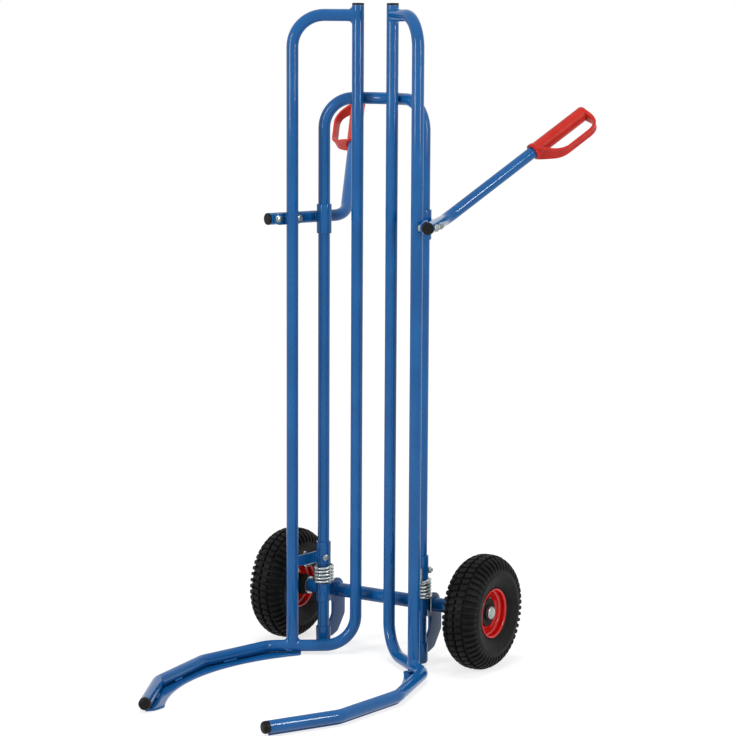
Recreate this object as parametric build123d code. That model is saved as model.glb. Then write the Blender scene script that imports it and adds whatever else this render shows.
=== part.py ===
from build123d import *
from math import acos, atan2, ceil, cos, degrees, pi, radians, sin, sqrt, tan
import os

os.makedirs("parts", exist_ok=True)

# Tyre hand truck: two sprung cradle arms swing on the uprights of a fixed hoop on wheels.
# Frame: X across the truck, front at -Y, Z up from the floor, origin under the middle of the truck.
# Every place below is for the right side; the left side is its mirror image.
# Plan places are measured from the plane of the hoop's uprights, which stands HINGE_Y behind the origin.
HINGE_Y = 113.87

# Tubes
TUBE_D = 26.9
TUBE_BORE = 22.3
SLEEVE_D = 33.7
SLEEVE_BORE = 27.0
WELD_GAP = 0.05

# Fixed hoop
HINGE_X = 131.0
HOOP_TOP = 1265.5
HOOP_CORNER_R = 68.0
HOOP_CRANK = 22.0
HOOP_CRANK_R = 110.0
HOOP_BOTTOM = 16.0
FOOT_BOTTOM = 5.0
FOOT_FLOOR = 10.5
FOOT_TOP = 53.0
FOOT_ROUND = 7.0
COLLAR_Z = (116.0, 156.0)
SLOT_STEPS = 4

# Axle and its hanger plates
AXLE_Y = 54.5
AXLE_Z = 130.0
AXLE_TUBE_D = 32.0
AXLE_TUBE_END = 204.0
SHAFT_D = 20.0
SHAFT_BORE = 20.1
SHAFT_END = 282.0
AXLE_CAP_T = 3.0
AXLE_CAP_ROUND = 2.4
INNER_WASHER_D = 40.0
WASHER_T = 3.0
AXLE_PLAY = 0.2
HANGER_T = 6.0
HANGER_LUG_R = 27.0
HANGER_OUTLINE = (
    (17.1, 150.0),
    (54.5, 157.0),
    (82.0, 130.0),
    (87.0, 112.0),
    (87.0, 68.0),
    (57.0, 31.0),
    (34.0, 24.0),
    (17.1, 24.0),
    (17.1, 56.0),
    (29.0, 64.0),
    (37.0, 76.0),
    (37.0, 104.0),
    (17.1, 118.0),
)

# Cradle arms
INNER = (45.0, 4.0)
OUTER = (162.4, -80.6)
ARM_TOP = 1470.0
TOP_BAR_Z = 1448.0
ARM_BEND_R = 70.0
FORK_Z = 20.0
FORK_REACH = 55.5
FORK_BEND_R = 60.0
FORK_BENDS = ((257.0, -299.0), (235.0, -490.0))
FORK_TIP = (157.0, -637.0)
FORK_PLATE_Z = (1.5, 6.5)
FORK_PLATE_CORNER = (137.0, -83.0)
FORK_PLATE_MIDDLE = (221.0, -337.0)
FORK_PLATE_NOSE = (140.0, -592.0)
FORK_PLATE_END = (144.0, -621.0)
FORK_PLATE_BEHIND = 20.0
FORK_NOSE_R = 16.0
COPE_DEPTH = 2.0

# Black end plugs: stem in the bore, then the height of head and domed end of each
PLUG_STEM = 10.0
PLUG_FIT = 0.1
PLUG_TAPER = 28.0
TOP_PLUG = (4.0, 1.0)
FORK_PLUG = (8.0, 6.0)

# Hinge sleeves, lower bracket and stop
UPPER_SLEEVE_Z = (962.0, 1028.0)
LOWER_SLEEVE_Z = (202.0, 253.0)
BRACKET_AT_SLEEVE = (208.5, 233.9)
BRACKET_AT_UPRIGHT = (203.1, 226.5)
BRACKET_T = 6.0
STOP_Z = 219.0
STOP_AXIS = 42.0
SWING = 28.0
SLOT_PLAY = 0.3

# Handle
HANDLE_Z = 997.5
HANDLE_OFFSET = 32.0
HANDLE_FRONT = 129.0
HANDLE_BACK = -82.4
HANDLE_BEND_R = 60.0
HANDLE_RISE = (0.403, 0.7438, 0.5334)
HANDLE_LEG = 428.0
HANDLE_PLATE = (75.0, 26.0, 5.0)
HANDLE_BOLT_PITCH = 54.0
LUG_SIZE = (20.0, 12.0, 18.0)

# Grip, along its own axis from its lower end, with its guard to one side
GRIP_START = 272.0
GRIP_L = 165.0
GRIP_D = 33.6
GRIP_FLANGE_D = 39.0
GRIP_FLANGE_L = 9.0
GUARD_SIDE = (0.885, -0.19, -0.404)
GUARD_REACH = 57.0
GUARD_T = 7.0
GUARD_W = 20.0
GUARD_ROOT_W = 30.0
GUARD_SHOULDER = 40.5
GUARD_CORNER_R = 36.0
GUARD_SHOULDER_R = 45.0
GUARD_SINK = 4.0
GUARD_NARROW = 62.0

# Fasteners, M8
BOLT_D = 8.0
BOLT_HOLE = 8.4
HEX_AF = 13.0
HEAD_H = 5.3
NUT_H = 6.5
THREAD_END = 3.0
BOLT_FLANGE_D = 17.0
BOLT_FLANGE_T = 1.6

# Torsion spring
WIRE_D = 6.0
COIL_R = 21.5
COIL_TURNS = 5
SPRING_CLEAR = 0.3
SPRING_BEND_R = 7.0
SPRING_LOW_LEG = (7.0, 32.5)
SPRING_LOW_END = 118.0
SPRING_HIGH_LEG = (46.7, 7.5)
SPRING_HIGH_END = 233.5

# Wheels, across the wheel from its middle plane and out from its axle
WHEEL_X = 259.0
TYRE_R = 130.0
TYRE_HALF_W = 42.5
TYRE_WIDEST_R = 96.0
TYRE_WALL = 10.0
TYRE_SHOULDER = (36.0, 117.0)
TYRE_CHEEK = (38.0, 74.0)
TYRE_BEAD_BEND = (34.5, 64.0)
TYRE_BEAD_BEND_IN = (25.5, 66.0)
TYRE_CHEEK_IN = (29.0, 76.0)
TYRE_SHOULDER_IN = (27.5, 109.5)
TYRE_CROWN_IN = (16.0, 117.2)
TYRE_BEAD_X = 28.0
TYRE_BEAD_R = 57.0

# Tread: grooves round the tyre by their place and floor, and slots across it by their floors
GROOVES = ((0.0, 123.7), (18.4, 121.3), (-18.4, 121.3))
GROOVE_W = 3.8
CROWN_FLOOR = ((-17.6, 121.9), (0.0, 123.9), (17.6, 121.9))
SHOULDER_FLOOR = ((19.2, 121.5), (33.6, 112.2), (42.4, 99.0))
SHOULDER_OUT = 46.0
TREAD_CLEAR = 134.0
TREAD_COUNT = 60
TREAD_GAP = 5.0
TREAD_SKEW = 9.6
TREAD_STAGGER = 0.79

# Rims, hubs and valves
RIM_LIP = (31.0, 56.0)
RIM_LIP_T = 2.6
RIM_SEAT_R = 48.8
RIM_T = 2.2
RIM_FIT = 0.1
RIM_CONE = (9.0, 41.5)
HUB_IN = -51.0
HUB_OUT = 16.0
HUB_D = 48.0
HUB_FLANGE_D = 60.0
HUB_FLANGE_T = 5.0
HUB_NECK_D = 52.0
HUB_FACE_D = 62.0
HUB_FACE_T = 5.0
HUB_TAPER = (12.0, 4.0)
HUB_ROUND = 2.0
RIM_BOLT_R = 35.0
RIM_BOLTS = 4
RIM_BOLT_D = 6.0
RIM_BOLT_AF = 8.8
RIM_BOLT_HEAD = 4.0
RIM_NUT_H = 5.0
VALVE_D = 7.0
VALVE_CAP_D = 8.4
VALVE_X = 14.0
VALVE_ANGLE = 180.0
VALVE_REACH = (53.0, 36.0)
VALVE_CAP = (42.0, 33.0)

RIGHT_HINGE = Vector(HINGE_X, 0, 0)
ALONG = (Vector(OUTER[0], OUTER[1], 0) - RIGHT_HINGE).normalized()
OUTWARD = Vector(-ALONG.Y, ALONG.X, 0)
ARM_REACH = (Vector(OUTER[0], OUTER[1], 0) - RIGHT_HINGE).length
CROSS = (Vector(*OUTER) - Vector(*INNER)).normalized()
BAR_ANGLE = degrees(atan2(ALONG.Y, ALONG.X))
UP = Vector(0, 0, 1)


def at_hinge(along, outward, z):
    """A point by its distance along the hinge-to-outer-upright line, out from that line, and its height."""
    return RIGHT_HINGE + ALONG * along + OUTWARD * outward + UP * z


def bent_edges(points, radii):
    """Straight runs between the points, with each inner point rounded to its own radius."""
    points = [Vector(*p) for p in points]
    edges = []
    start = points[0]
    for before, corner, after, radius in zip(points, points[1:], points[2:], radii):
        back = (before - corner).normalized()
        ahead = (after - corner).normalized()
        half = acos(back.dot(ahead)) / 2
        inward = (back + ahead).normalized()
        first = corner + back * (radius / tan(half))
        last = corner + ahead * (radius / tan(half))
        middle = corner + inward * (radius / sin(half) - radius)
        edges.append(Edge.make_line(start, first))
        edges.append(Edge.make_three_point_arc(first, middle, last))
        start = last
    edges.append(Edge.make_line(start, points[-1]))
    return edges


def bent_tube(points, radii, outer=TUBE_D, bore=TUBE_BORE):
    """A hollow tube bent along the points."""
    ends = Plane(origin=points[0], z_dir=Vector(*points[1]) - Vector(*points[0]))
    return sweep(ends * (Circle(outer / 2) - Circle(bore / 2)), Wire(bent_edges(points, radii)))


def rod(start, end, diameter):
    """A solid cylinder from start to end."""
    start = Vector(*start)
    reach = Vector(*end) - start
    return extrude(Plane(origin=start, z_dir=reach) * Circle(diameter / 2), reach.length)


def ring(x, y, z_range, outer, bore):
    """An upright ring about a vertical axis."""
    low, high = z_range
    return extrude(Pos(x, y, low) * (Circle(outer / 2) - Circle(bore / 2)), high - low)


def hex_bolt(seat, direction, grip, flanged=False):
    """A hex bolt with its nut: the head's seat, the way the shank goes and the length it clamps."""
    way = Vector(*direction).normalized()
    seat = Vector(*seat)
    hexagon = RegularPolygon(HEX_AF / 2, 6, major_radius=False)
    head = extrude(Plane(origin=seat - way * HEAD_H, z_dir=way) * hexagon, HEAD_H)
    nut = extrude(Plane(origin=seat + way * grip, z_dir=way) * hexagon, NUT_H)
    bolt = head + rod(seat, seat + way * (grip + NUT_H + THREAD_END), BOLT_D) + nut
    if flanged:
        far = seat + way * grip
        bolt += rod(seat, seat - way * BOLT_FLANGE_T, BOLT_FLANGE_D)
        bolt += rod(far, far + way * BOLT_FLANGE_T, BOLT_FLANGE_D)
    return bolt


# Fixed hoop, feet and spring collars
def make_hoop():
    crank_y = HINGE_X * tan(radians(HOOP_CRANK))
    route = [
        (HINGE_X, 0, HOOP_BOTTOM),
        (HINGE_X, 0, HOOP_TOP),
        (0, crank_y, HOOP_TOP),
        (-HINGE_X, 0, HOOP_TOP),
        (-HINGE_X, 0, HOOP_BOTTOM),
    ]
    hoop = bent_tube(route, [HOOP_CORNER_R, HOOP_CRANK_R, HOOP_CORNER_R])
    slot = stop_slot()
    return hoop - slot - mirror(slot, about=Plane.YZ)


def stop_slot():
    """The slot through one upright that the stop bolt sweeps from closed to open."""
    width = BOLT_D + 2 * SLOT_PLAY
    cutter = Box(2 * SLEEVE_D, width, width)
    turns = [STOP_AXIS + SWING * step / SLOT_STEPS for step in range(SLOT_STEPS + 1)]
    swept = [Pos(HINGE_X, 0, STOP_Z) * Rot(0, 0, turn) * cutter for turn in turns]
    return swept[0].fuse(*swept[1:])


def make_foot():
    cup = Pos(HINGE_X, 0, FOOT_BOTTOM) * extrude(Circle(SLEEVE_D / 2), FOOT_TOP - FOOT_BOTTOM)
    cup = fillet(cup.edges().group_by(Axis.Z)[0], FOOT_ROUND)
    socket = Pos(HINGE_X, 0, FOOT_FLOOR) * extrude(Circle(SLEEVE_BORE / 2), FOOT_TOP)
    return cup - socket


# Hanger plates, axle and its washers
def make_hanger():
    """A J-shaped plate behind the upright, in the upright's own plane, with a lug round the axle tube."""
    lug = Pos(AXLE_Y, AXLE_Z) * Circle(HANGER_LUG_R)
    hole = Pos(AXLE_Y, AXLE_Z) * Circle(AXLE_TUBE_D / 2 + WELD_GAP)
    outline = make_face(Polyline(*HANGER_OUTLINE, close=True))
    plate = Plane.YZ * (outline + lug - hole)
    return Pos(HINGE_X - HANGER_T / 2, 0, 0) * extrude(plate, HANGER_T, dir=(1, 0, 0))


def axle_ring(x, thickness, outer, bore):
    """A ring round the axle from x outwards."""
    face = Plane(origin=(x, AXLE_Y, AXLE_Z), z_dir=(1, 0, 0)) * (Circle(outer / 2) - Circle(bore / 2))
    return extrude(face, thickness)


def make_axle_cap():
    """A pressed cap over the shaft's end."""
    start = WHEEL_X + HUB_OUT + WASHER_T + 2 * AXLE_PLAY
    cap = rod((start, AXLE_Y, AXLE_Z), (SHAFT_END + AXLE_CAP_T, AXLE_Y, AXLE_Z), SLEEVE_D)
    cap = fillet(cap.edges().group_by(Axis.X)[-1], AXLE_CAP_ROUND)
    return cap - rod((start, AXLE_Y, AXLE_Z), (SHAFT_END + WELD_GAP, AXLE_Y, AXLE_Z), SHAFT_BORE)


# Torsion spring
def helix_point(turn, start_angle, low, rise, turns):
    """A place on the coil and its direction there, a left-hand helix that climbs as it turns clockwise."""
    angle = start_angle - 2 * pi * turn
    slope = rise / (turns * 2 * pi * COIL_R)
    place = RIGHT_HINGE + Vector(COIL_R * cos(angle), COIL_R * sin(angle), low + rise * turn / turns)
    return place, Vector(sin(angle), -cos(angle), slope).normalized()


def biarc(start, start_way, end, end_way):
    """Two arcs that meet smoothly and join two places in the given directions."""
    gap = end - start
    both = start_way + end_way
    bend = 2 * (1 - start_way.dot(end_way))
    along = gap.dot(both)
    arm = (sqrt(along * along + bend * gap.dot(gap)) - along) / bend
    first = start + start_way * arm
    second = end - end_way * arm
    middle = (first + second) * 0.5
    return [
        Edge.make_tangent_arc(start, start_way, middle),
        Edge.make_tangent_arc(middle, second - first, end),
    ]


def make_spring():
    """Coil between collar and lower sleeve, one leg down beside the hanger, one up beside the bracket."""
    low = COLLAR_Z[1] + SPRING_CLEAR + WIRE_D / 2
    rise = LOWER_SLEEVE_Z[0] - SPRING_CLEAR - WIRE_D / 2 - low
    low_leg = RIGHT_HINGE + Vector(*SPRING_LOW_LEG)
    high_leg = at_hinge(*SPRING_HIGH_LEG, 0)
    low_reach = (low_leg - RIGHT_HINGE).length
    high_reach = (high_leg - RIGHT_HINGE).length
    start_angle = atan2(*reversed(SPRING_LOW_LEG)) - acos(COIL_R / low_reach)
    high_way = high_leg - RIGHT_HINGE
    end_angle = atan2(high_way.Y, high_way.X) + acos(COIL_R / high_reach)
    turns = COIL_TURNS + (start_angle - end_angle) / (2 * pi)
    pieces = ceil(4 * turns)
    stations = [helix_point(turns * k / pieces, start_angle, low, rise, turns) for k in range(pieces + 1)]
    first, first_way = stations[0]
    last, last_way = stations[-1]
    level = Vector(first_way.X, first_way.Y).length
    low_corner = first - first_way * (sqrt(low_reach**2 - COIL_R**2) / level)
    high_corner = last + last_way * (sqrt(high_reach**2 - COIL_R**2) / level)
    low_end = Vector(low_corner.X, low_corner.Y, SPRING_LOW_END)
    high_end = Vector(high_corner.X, high_corner.Y, SPRING_HIGH_END)
    edges = bent_edges([low_end, low_corner, first], [SPRING_BEND_R])
    for (start, start_way), (end, end_way) in zip(stations, stations[1:]):
        edges += biarc(start, start_way, end, end_way)
    edges += bent_edges([last, high_corner, high_end], [SPRING_BEND_R])
    print("spring turns", round(turns, 3), "least gap to itself", round(least_gap(edges), 2))
    return sweep(Plane(origin=low_end, z_dir=UP) * Circle(WIRE_D / 2), Wire(edges))


def least_gap(edges, step=1.0):
    """The smallest clear gap between two stretches of wire that lie over half a turn apart along it."""
    samples = []
    travelled = 0.0
    for edge in edges:
        count = max(2, ceil(edge.length / step))
        for k in range(count):
            samples.append((travelled + edge.length * k / count, edge.position_at(k / count)))
        travelled += edge.length
    apart = pi * COIL_R
    gaps = [
        (here - there).length
        for i, (s, here) in enumerate(samples)
        for t, there in samples[i + 1 :]
        if t - s > apart
    ]
    return min(gaps) - WIRE_D


# Cradle arm tubes and fork plate
def fork_root():
    """Where the cross run under the outer upright turns into the fork."""
    return Vector(*OUTER) + CROSS * FORK_REACH


def make_cradle_tube():
    root = fork_root()
    route = [(*INNER, ARM_TOP), (*INNER, FORK_Z), (root.X, root.Y, FORK_Z)]
    route += [(*bend, FORK_Z) for bend in FORK_BENDS]
    route.append((*FORK_TIP, FORK_Z))
    return bent_tube(route, [ARM_BEND_R] + [FORK_BEND_R] * 3)


def make_outer_upright():
    """The outer upright and the top bar, coped onto the cross run and onto the inner upright."""
    route = [(*OUTER, FORK_Z + COPE_DEPTH), (*OUTER, TOP_BAR_Z), (*INNER, TOP_BAR_Z)]
    cope = TUBE_D + 2 * WELD_GAP
    root = fork_root()
    cross_run = rod((*INNER, FORK_Z), (root.X, root.Y, FORK_Z), cope)
    inner_run = rod((*INNER, TOP_BAR_Z - TUBE_D), (*INNER, TOP_BAR_Z + TUBE_D), cope)
    return bent_tube(route, [ARM_BEND_R]) - cross_run - inner_run


def make_fork_plate():
    """A flat lip under the fork, its inner edge one long arc that follows a tyre."""
    root = fork_root()
    behind = Vector(*OUTER) - CROSS * FORK_PLATE_BEHIND
    inner_edge = ThreePointArc(FORK_PLATE_CORNER, FORK_PLATE_MIDDLE, FORK_PLATE_NOSE)
    rest = Polyline(
        FORK_PLATE_NOSE,
        FORK_PLATE_END,
        FORK_TIP,
        FORK_BENDS[1],
        FORK_BENDS[0],
        (root.X, root.Y),
        (behind.X, behind.Y),
        FORK_PLATE_CORNER,
    )
    low, high = FORK_PLATE_Z
    plate = Pos(0, 0, low) * extrude(make_face([inner_edge, rest]), high - low)
    nose = plate.edges().filter_by(Axis.Z).sort_by_distance((*FORK_PLATE_NOSE, low))[0]
    return fillet(nose, FORK_NOSE_R)


def make_plug(end, way, heights):
    """A black plug: a stem in the tube's bore, a head on its end and a domed face."""
    head, dome = heights
    way = Vector(*way).normalized()
    end = Vector(*end)
    stem = rod(end - way * PLUG_STEM, end + way * PLUG_FIT, TUBE_BORE - PLUG_FIT)
    top = rod(end + way * WELD_GAP, end + way * head, TUBE_D)
    tip = extrude(Plane(origin=end + way * head, z_dir=way) * Circle(TUBE_D / 2), dome, taper=PLUG_TAPER)
    return stem + top + tip


# Hinge sleeves, bracket, stop bolt and handle
def stop_direction():
    return Vector(cos(radians(STOP_AXIS)), sin(radians(STOP_AXIS)), 0)


def make_lower_sleeve():
    sleeve = ring(HINGE_X, 0, LOWER_SLEEVE_Z, SLEEVE_D, SLEEVE_BORE)
    middle = RIGHT_HINGE + UP * STOP_Z
    way = stop_direction() * SLEEVE_D
    return sleeve - rod(middle - way, middle + way, BOLT_HOLE)


def make_stop_bolt():
    way = stop_direction()
    seat = RIGHT_HINGE + UP * STOP_Z - way * (SLEEVE_D / 2 + WELD_GAP)
    return hex_bolt(seat, way, SLEEVE_D + 2 * WELD_GAP)


def make_bracket():
    """A flat plate on edge, higher at the lower sleeve, coped onto it and onto the outer upright."""
    sleeve_low, sleeve_high = BRACKET_AT_SLEEVE
    low, high = BRACKET_AT_UPRIGHT
    outline = Polyline((0, sleeve_low), (ARM_REACH, low), (ARM_REACH, high), (0, sleeve_high), close=True)
    side = Plane(origin=RIGHT_HINGE, x_dir=ALONG, z_dir=OUTWARD * -1)
    plate = extrude(side * make_face(outline), BRACKET_T / 2, both=True)
    plate -= rod((HINGE_X, 0, low), (HINGE_X, 0, sleeve_high), SLEEVE_D + 2 * WELD_GAP)
    return plate - rod((*OUTER, low), (*OUTER, sleeve_high), TUBE_D + 2 * WELD_GAP)


def handle_axis():
    """The handle's front end, its bend and its rear end."""
    front = at_hinge(HANDLE_FRONT, HANDLE_OFFSET, HANDLE_Z)
    bend = at_hinge(HANDLE_BACK, HANDLE_OFFSET, HANDLE_Z)
    return front, bend, bend + Vector(*HANDLE_RISE).normalized() * HANDLE_LEG


def bolt_places():
    return [ARM_REACH + side * HANDLE_BOLT_PITCH / 2 for side in (-1, 1)]


def make_handle_tube():
    front, bend, end = handle_axis()
    handle = bent_tube([front, bend, end], [HANDLE_BEND_R])
    for place in bolt_places():
        handle -= rod(at_hinge(place, 0, HANDLE_Z), at_hinge(place, 2 * HANDLE_OFFSET, HANDLE_Z), BOLT_HOLE)
    return handle


def make_handle_plate():
    length, height, thickness = HANDLE_PLATE
    inner_face = TUBE_D / 2 + WELD_GAP
    face = Plane(origin=at_hinge(ARM_REACH, inner_face, HANDLE_Z), x_dir=ALONG, z_dir=OUTWARD)
    holes = [Pos(side * HANDLE_BOLT_PITCH / 2, 0) * Circle(BOLT_HOLE / 2) for side in (-1, 1)]
    return extrude(face * (SlotOverall(length, height) - holes[0] - holes[1]), thickness)


def make_handle_bolts():
    seat = TUBE_D / 2
    clamped = HANDLE_OFFSET + TUBE_D / 2 + WELD_GAP - seat
    bolts = [hex_bolt(at_hinge(place, seat, HANDLE_Z), OUTWARD, clamped, True) for place in bolt_places()]
    return Compound(children=bolts)


def make_sleeve_lug():
    """A weld pad that fills the gap between the upper sleeve and the handle."""
    pad = Pos(*at_hinge(0, HANDLE_OFFSET / 2, HANDLE_Z)) * Rot(0, 0, BAR_ANGLE) * Box(*LUG_SIZE)
    low, high = UPPER_SLEEVE_Z
    pad -= rod((HINGE_X, 0, low), (HINGE_X, 0, high), SLEEVE_D + 2 * WELD_GAP)
    front, bend, _ = handle_axis()
    return pad - rod(front, bend, TUBE_D + 2 * WELD_GAP)


# Grip with its hand guard
def make_grip():
    _, bend, _ = handle_axis()
    way = Vector(*HANDLE_RISE).normalized()
    side = Vector(*GUARD_SIDE)
    side = (side - way * side.dot(way)).normalized()
    start = bend + way * GRIP_START
    end = start + way * GRIP_L
    body = rod(start, end, GRIP_D)
    body += rod(start, start + way * GRIP_FLANGE_L, GRIP_FLANGE_D)
    body += rod(end - way * GRIP_FLANGE_L, end, GRIP_FLANGE_D)

    def guard_point(out, up):
        return start + side * out + way * up

    top = GRIP_L - GUARD_T / 2
    root = GRIP_D / 2 - GUARD_SINK
    route = [
        guard_point(root, GRIP_FLANGE_L),
        guard_point(GUARD_REACH, GUARD_SHOULDER),
        guard_point(GUARD_REACH, top),
        guard_point(root, top),
    ]
    first_run = Plane(origin=route[0], x_dir=side.cross(way), z_dir=route[1] - route[0])
    strap = first_run * Rectangle(GUARD_ROOT_W, GUARD_T)
    guard = sweep(strap, Wire(bent_edges(route, [GUARD_SHOULDER_R, GUARD_CORNER_R])))
    narrowing = Polyline(
        (-1, GUARD_ROOT_W / 2),
        (GUARD_NARROW, GUARD_W / 2),
        (GRIP_L + 1, GUARD_W / 2),
        (GRIP_L + 1, -GUARD_W / 2),
        (GUARD_NARROW, -GUARD_W / 2),
        (-1, -GUARD_ROOT_W / 2),
        close=True,
    )
    guard &= extrude(Plane(origin=start, x_dir=way, z_dir=side) * make_face(narrowing), 2 * GUARD_REACH)
    bore = rod(start - way, bend + way * (HANDLE_LEG + WELD_GAP), TUBE_D + 2 * WELD_GAP)
    return body + guard - bore


# Wheels
def wheel_place(across, out, angle=0.0):
    """A place on the right wheel by its distance across, out from the axle, and its angle round it."""
    turn = radians(angle)
    return Vector(WHEEL_X + across, AXLE_Y + out * cos(turn), AXLE_Z + out * sin(turn))


def turned(lines):
    """A solid of revolution about the wheel's axle, from a closed outline across and out."""
    middle = (WHEEL_X, AXLE_Y, AXLE_Z)
    profile = Plane(origin=middle, x_dir=(1, 0, 0), z_dir=(0, -1, 0)) * make_face(lines)
    return revolve(profile, Axis(middle, (1, 0, 0)))


def make_tyre():
    """A hollow tyre, open at its beads, with blocks on its crown and bars over its shoulders."""
    toe = TYRE_BEAD_X - TYRE_WALL
    seat = RIM_SEAT_R + 4 * RIM_FIT
    shoulder_x, shoulder_r = TYRE_SHOULDER
    drop = TYRE_R - shoulder_r
    crown_r = (shoulder_x**2 + drop**2) / (2 * drop)
    crown = TYRE_R - crown_r + sqrt(crown_r**2 - (shoulder_x / 2) ** 2)
    half = [
        ThreePointArc((0, TYRE_R), (shoulder_x / 2, crown), TYRE_SHOULDER),
        ThreePointArc(TYRE_SHOULDER, (TYRE_HALF_W, TYRE_WIDEST_R), TYRE_CHEEK),
        ThreePointArc(TYRE_CHEEK, TYRE_BEAD_BEND, (TYRE_BEAD_X, TYRE_BEAD_R)),
        Line((TYRE_BEAD_X, TYRE_BEAD_R), (TYRE_BEAD_X, seat)),
        Line((TYRE_BEAD_X, seat), (toe, seat)),
        Line((toe, seat), (toe, TYRE_BEAD_R)),
        ThreePointArc((toe, TYRE_BEAD_R), TYRE_BEAD_BEND_IN, TYRE_CHEEK_IN),
        ThreePointArc(TYRE_CHEEK_IN, (TYRE_HALF_W - TYRE_WALL, TYRE_WIDEST_R), TYRE_SHOULDER_IN),
        ThreePointArc(TYRE_SHOULDER_IN, TYRE_CROWN_IN, (0, TYRE_R - TYRE_WALL)),
    ]
    tyre = turned(half + [mirror(line, about=Plane.YZ) for line in half])
    for place, floor in GROOVES:
        section = Pos(place, (floor + TREAD_CLEAR) / 2) * Rectangle(GROOVE_W, TREAD_CLEAR - floor)
        tyre -= turned(section.edges())
    return tyre.cut(*tread_slots())


def tread_slots():
    """The gaps between the blocks on the crown and between the bars over both shoulders."""
    crown_end = CROWN_FLOOR[-1][0]
    crown = [*CROWN_FLOOR, (crown_end, TREAD_CLEAR), (-crown_end, TREAD_CLEAR)]
    start, _ = SHOULDER_FLOOR[0]
    _, end = SHOULDER_FLOOR[-1]
    shoulder = [*SHOULDER_FLOOR, (SHOULDER_OUT, end), (SHOULDER_OUT, TREAD_CLEAR), (start, TREAD_CLEAR)]
    far_shoulder = [(-across, out) for across, out in shoulder]
    pitch = 360 / TREAD_COUNT
    slots = []
    for outline, skew, phase in (
        (crown, TREAD_SKEW, pitch / 2),
        (shoulder, 0, -TREAD_STAGGER),
        (far_shoulder, 0, TREAD_STAGGER),
    ):
        face = Plane.XZ * make_face(Polyline(*outline, close=True))
        slot = Rot(0, 0, skew) * extrude(face, TREAD_GAP / 2, both=True)
        turns = [phase + pitch * place for place in range(TREAD_COUNT)]
        slots += [Pos(WHEEL_X, AXLE_Y, AXLE_Z) * Rot(turn, 0, 0) * slot for turn in turns]
    return slots


def make_rim(sign):
    """One pressed half of the rim: lip, bead seat, cone and the flat disc at the hub."""
    lip_x, lip_r = RIM_LIP
    lip_in = lip_x - RIM_LIP_T
    cone_x, cone_r = RIM_CONE
    seat_in = RIM_SEAT_R - RIM_T
    bore = HUB_D / 2 + RIM_FIT
    points = [
        (RIM_FIT, bore),
        (RIM_FIT, cone_r),
        (cone_x, RIM_SEAT_R),
        (lip_in, RIM_SEAT_R),
        (lip_in, lip_r - 2),
        (lip_in + RIM_LIP_T / 2, lip_r),
        (lip_x, lip_r - 2),
        (lip_x, seat_in + RIM_T),
        (lip_in, seat_in),
        (cone_x + 1, seat_in),
        (RIM_FIT + RIM_T, cone_r - 1.5),
        (RIM_FIT + RIM_T, bore),
    ]
    half = turned(Polyline(*[(sign * x, r) for x, r in points], close=True))
    for angle in rim_bolt_angles():
        hole = [wheel_place(across, RIM_BOLT_R, angle) for across in (-cone_x, cone_x)]
        half -= rod(*hole, RIM_BOLT_D + 3 * RIM_FIT)
    return half


def make_outer_rim():
    """The outer half, with the valve's hole in its bead seat."""
    seat_hole = [wheel_place(VALVE_X, out, VALVE_ANGLE) for out in (VALVE_REACH[0], RIM_CONE[1] - 1.5)]
    return make_rim(1) - rod(*seat_hole, VALVE_D + 3 * RIM_FIT)


def rim_bolt_angles():
    return [360 * (place + 0.5) / RIM_BOLTS for place in range(RIM_BOLTS)]


def make_hub():
    """A plastic hub with a flange outside the disc, a wider face outside that, and the axle's bore."""
    flange_in = RIM_T + 3 * RIM_FIT
    flange_out = flange_in + HUB_FLANGE_T
    face_in = HUB_OUT - HUB_FACE_T
    taper_x, taper_r = HUB_TAPER
    points = [
        (HUB_IN, SHAFT_BORE / 2),
        (HUB_IN, HUB_D / 2 - taper_r),
        (HUB_IN + taper_x, HUB_D / 2),
        (flange_in, HUB_D / 2),
        (flange_in, HUB_FLANGE_D / 2),
        (flange_out, HUB_FLANGE_D / 2),
        (flange_out, HUB_NECK_D / 2),
        (face_in, HUB_NECK_D / 2),
        (face_in, HUB_FACE_D / 2),
        (HUB_OUT - HUB_ROUND, HUB_FACE_D / 2),
        (HUB_OUT, HUB_FACE_D / 2 - HUB_ROUND),
        (HUB_OUT, SHAFT_BORE / 2),
    ]
    return turned(Polyline(*points, close=True))


def make_rim_bolts():
    """Small bolts and nuts that hold the rim's halves together."""
    hexagon = RegularPolygon(RIM_BOLT_AF / 2, 6, major_radius=False)
    face = RIM_T + 1.5 * RIM_FIT
    bolts = []
    for angle in rim_bolt_angles():
        tail = wheel_place(-face - RIM_NUT_H - 1, RIM_BOLT_R, angle)
        shank = rod(tail, wheel_place(face + RIM_BOLT_HEAD, RIM_BOLT_R, angle), RIM_BOLT_D)
        head = Plane(origin=wheel_place(face, RIM_BOLT_R, angle), z_dir=(1, 0, 0)) * hexagon
        nut = Plane(origin=wheel_place(-face, RIM_BOLT_R, angle), z_dir=(-1, 0, 0)) * hexagon
        bolts.append(shank + extrude(head, RIM_BOLT_HEAD) + extrude(nut, RIM_NUT_H))
    return Compound(children=bolts)


def make_valve():
    """A valve stem that points in at the axle through the outer half of the rim."""
    stem = rod(*[wheel_place(VALVE_X, out, VALVE_ANGLE) for out in VALVE_REACH], VALVE_D)
    return stem + rod(*[wheel_place(VALVE_X, out, VALVE_ANGLE) for out in VALVE_CAP], VALVE_CAP_D)


# Assembly: single pieces on the truck's middle plane, then the pairs
fork_way = Vector(*FORK_TIP) - Vector(*FORK_BENDS[1])
washer_start = AXLE_TUBE_END + AXLE_PLAY
outer_washer_start = WHEEL_X + HUB_OUT + AXLE_PLAY

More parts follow.
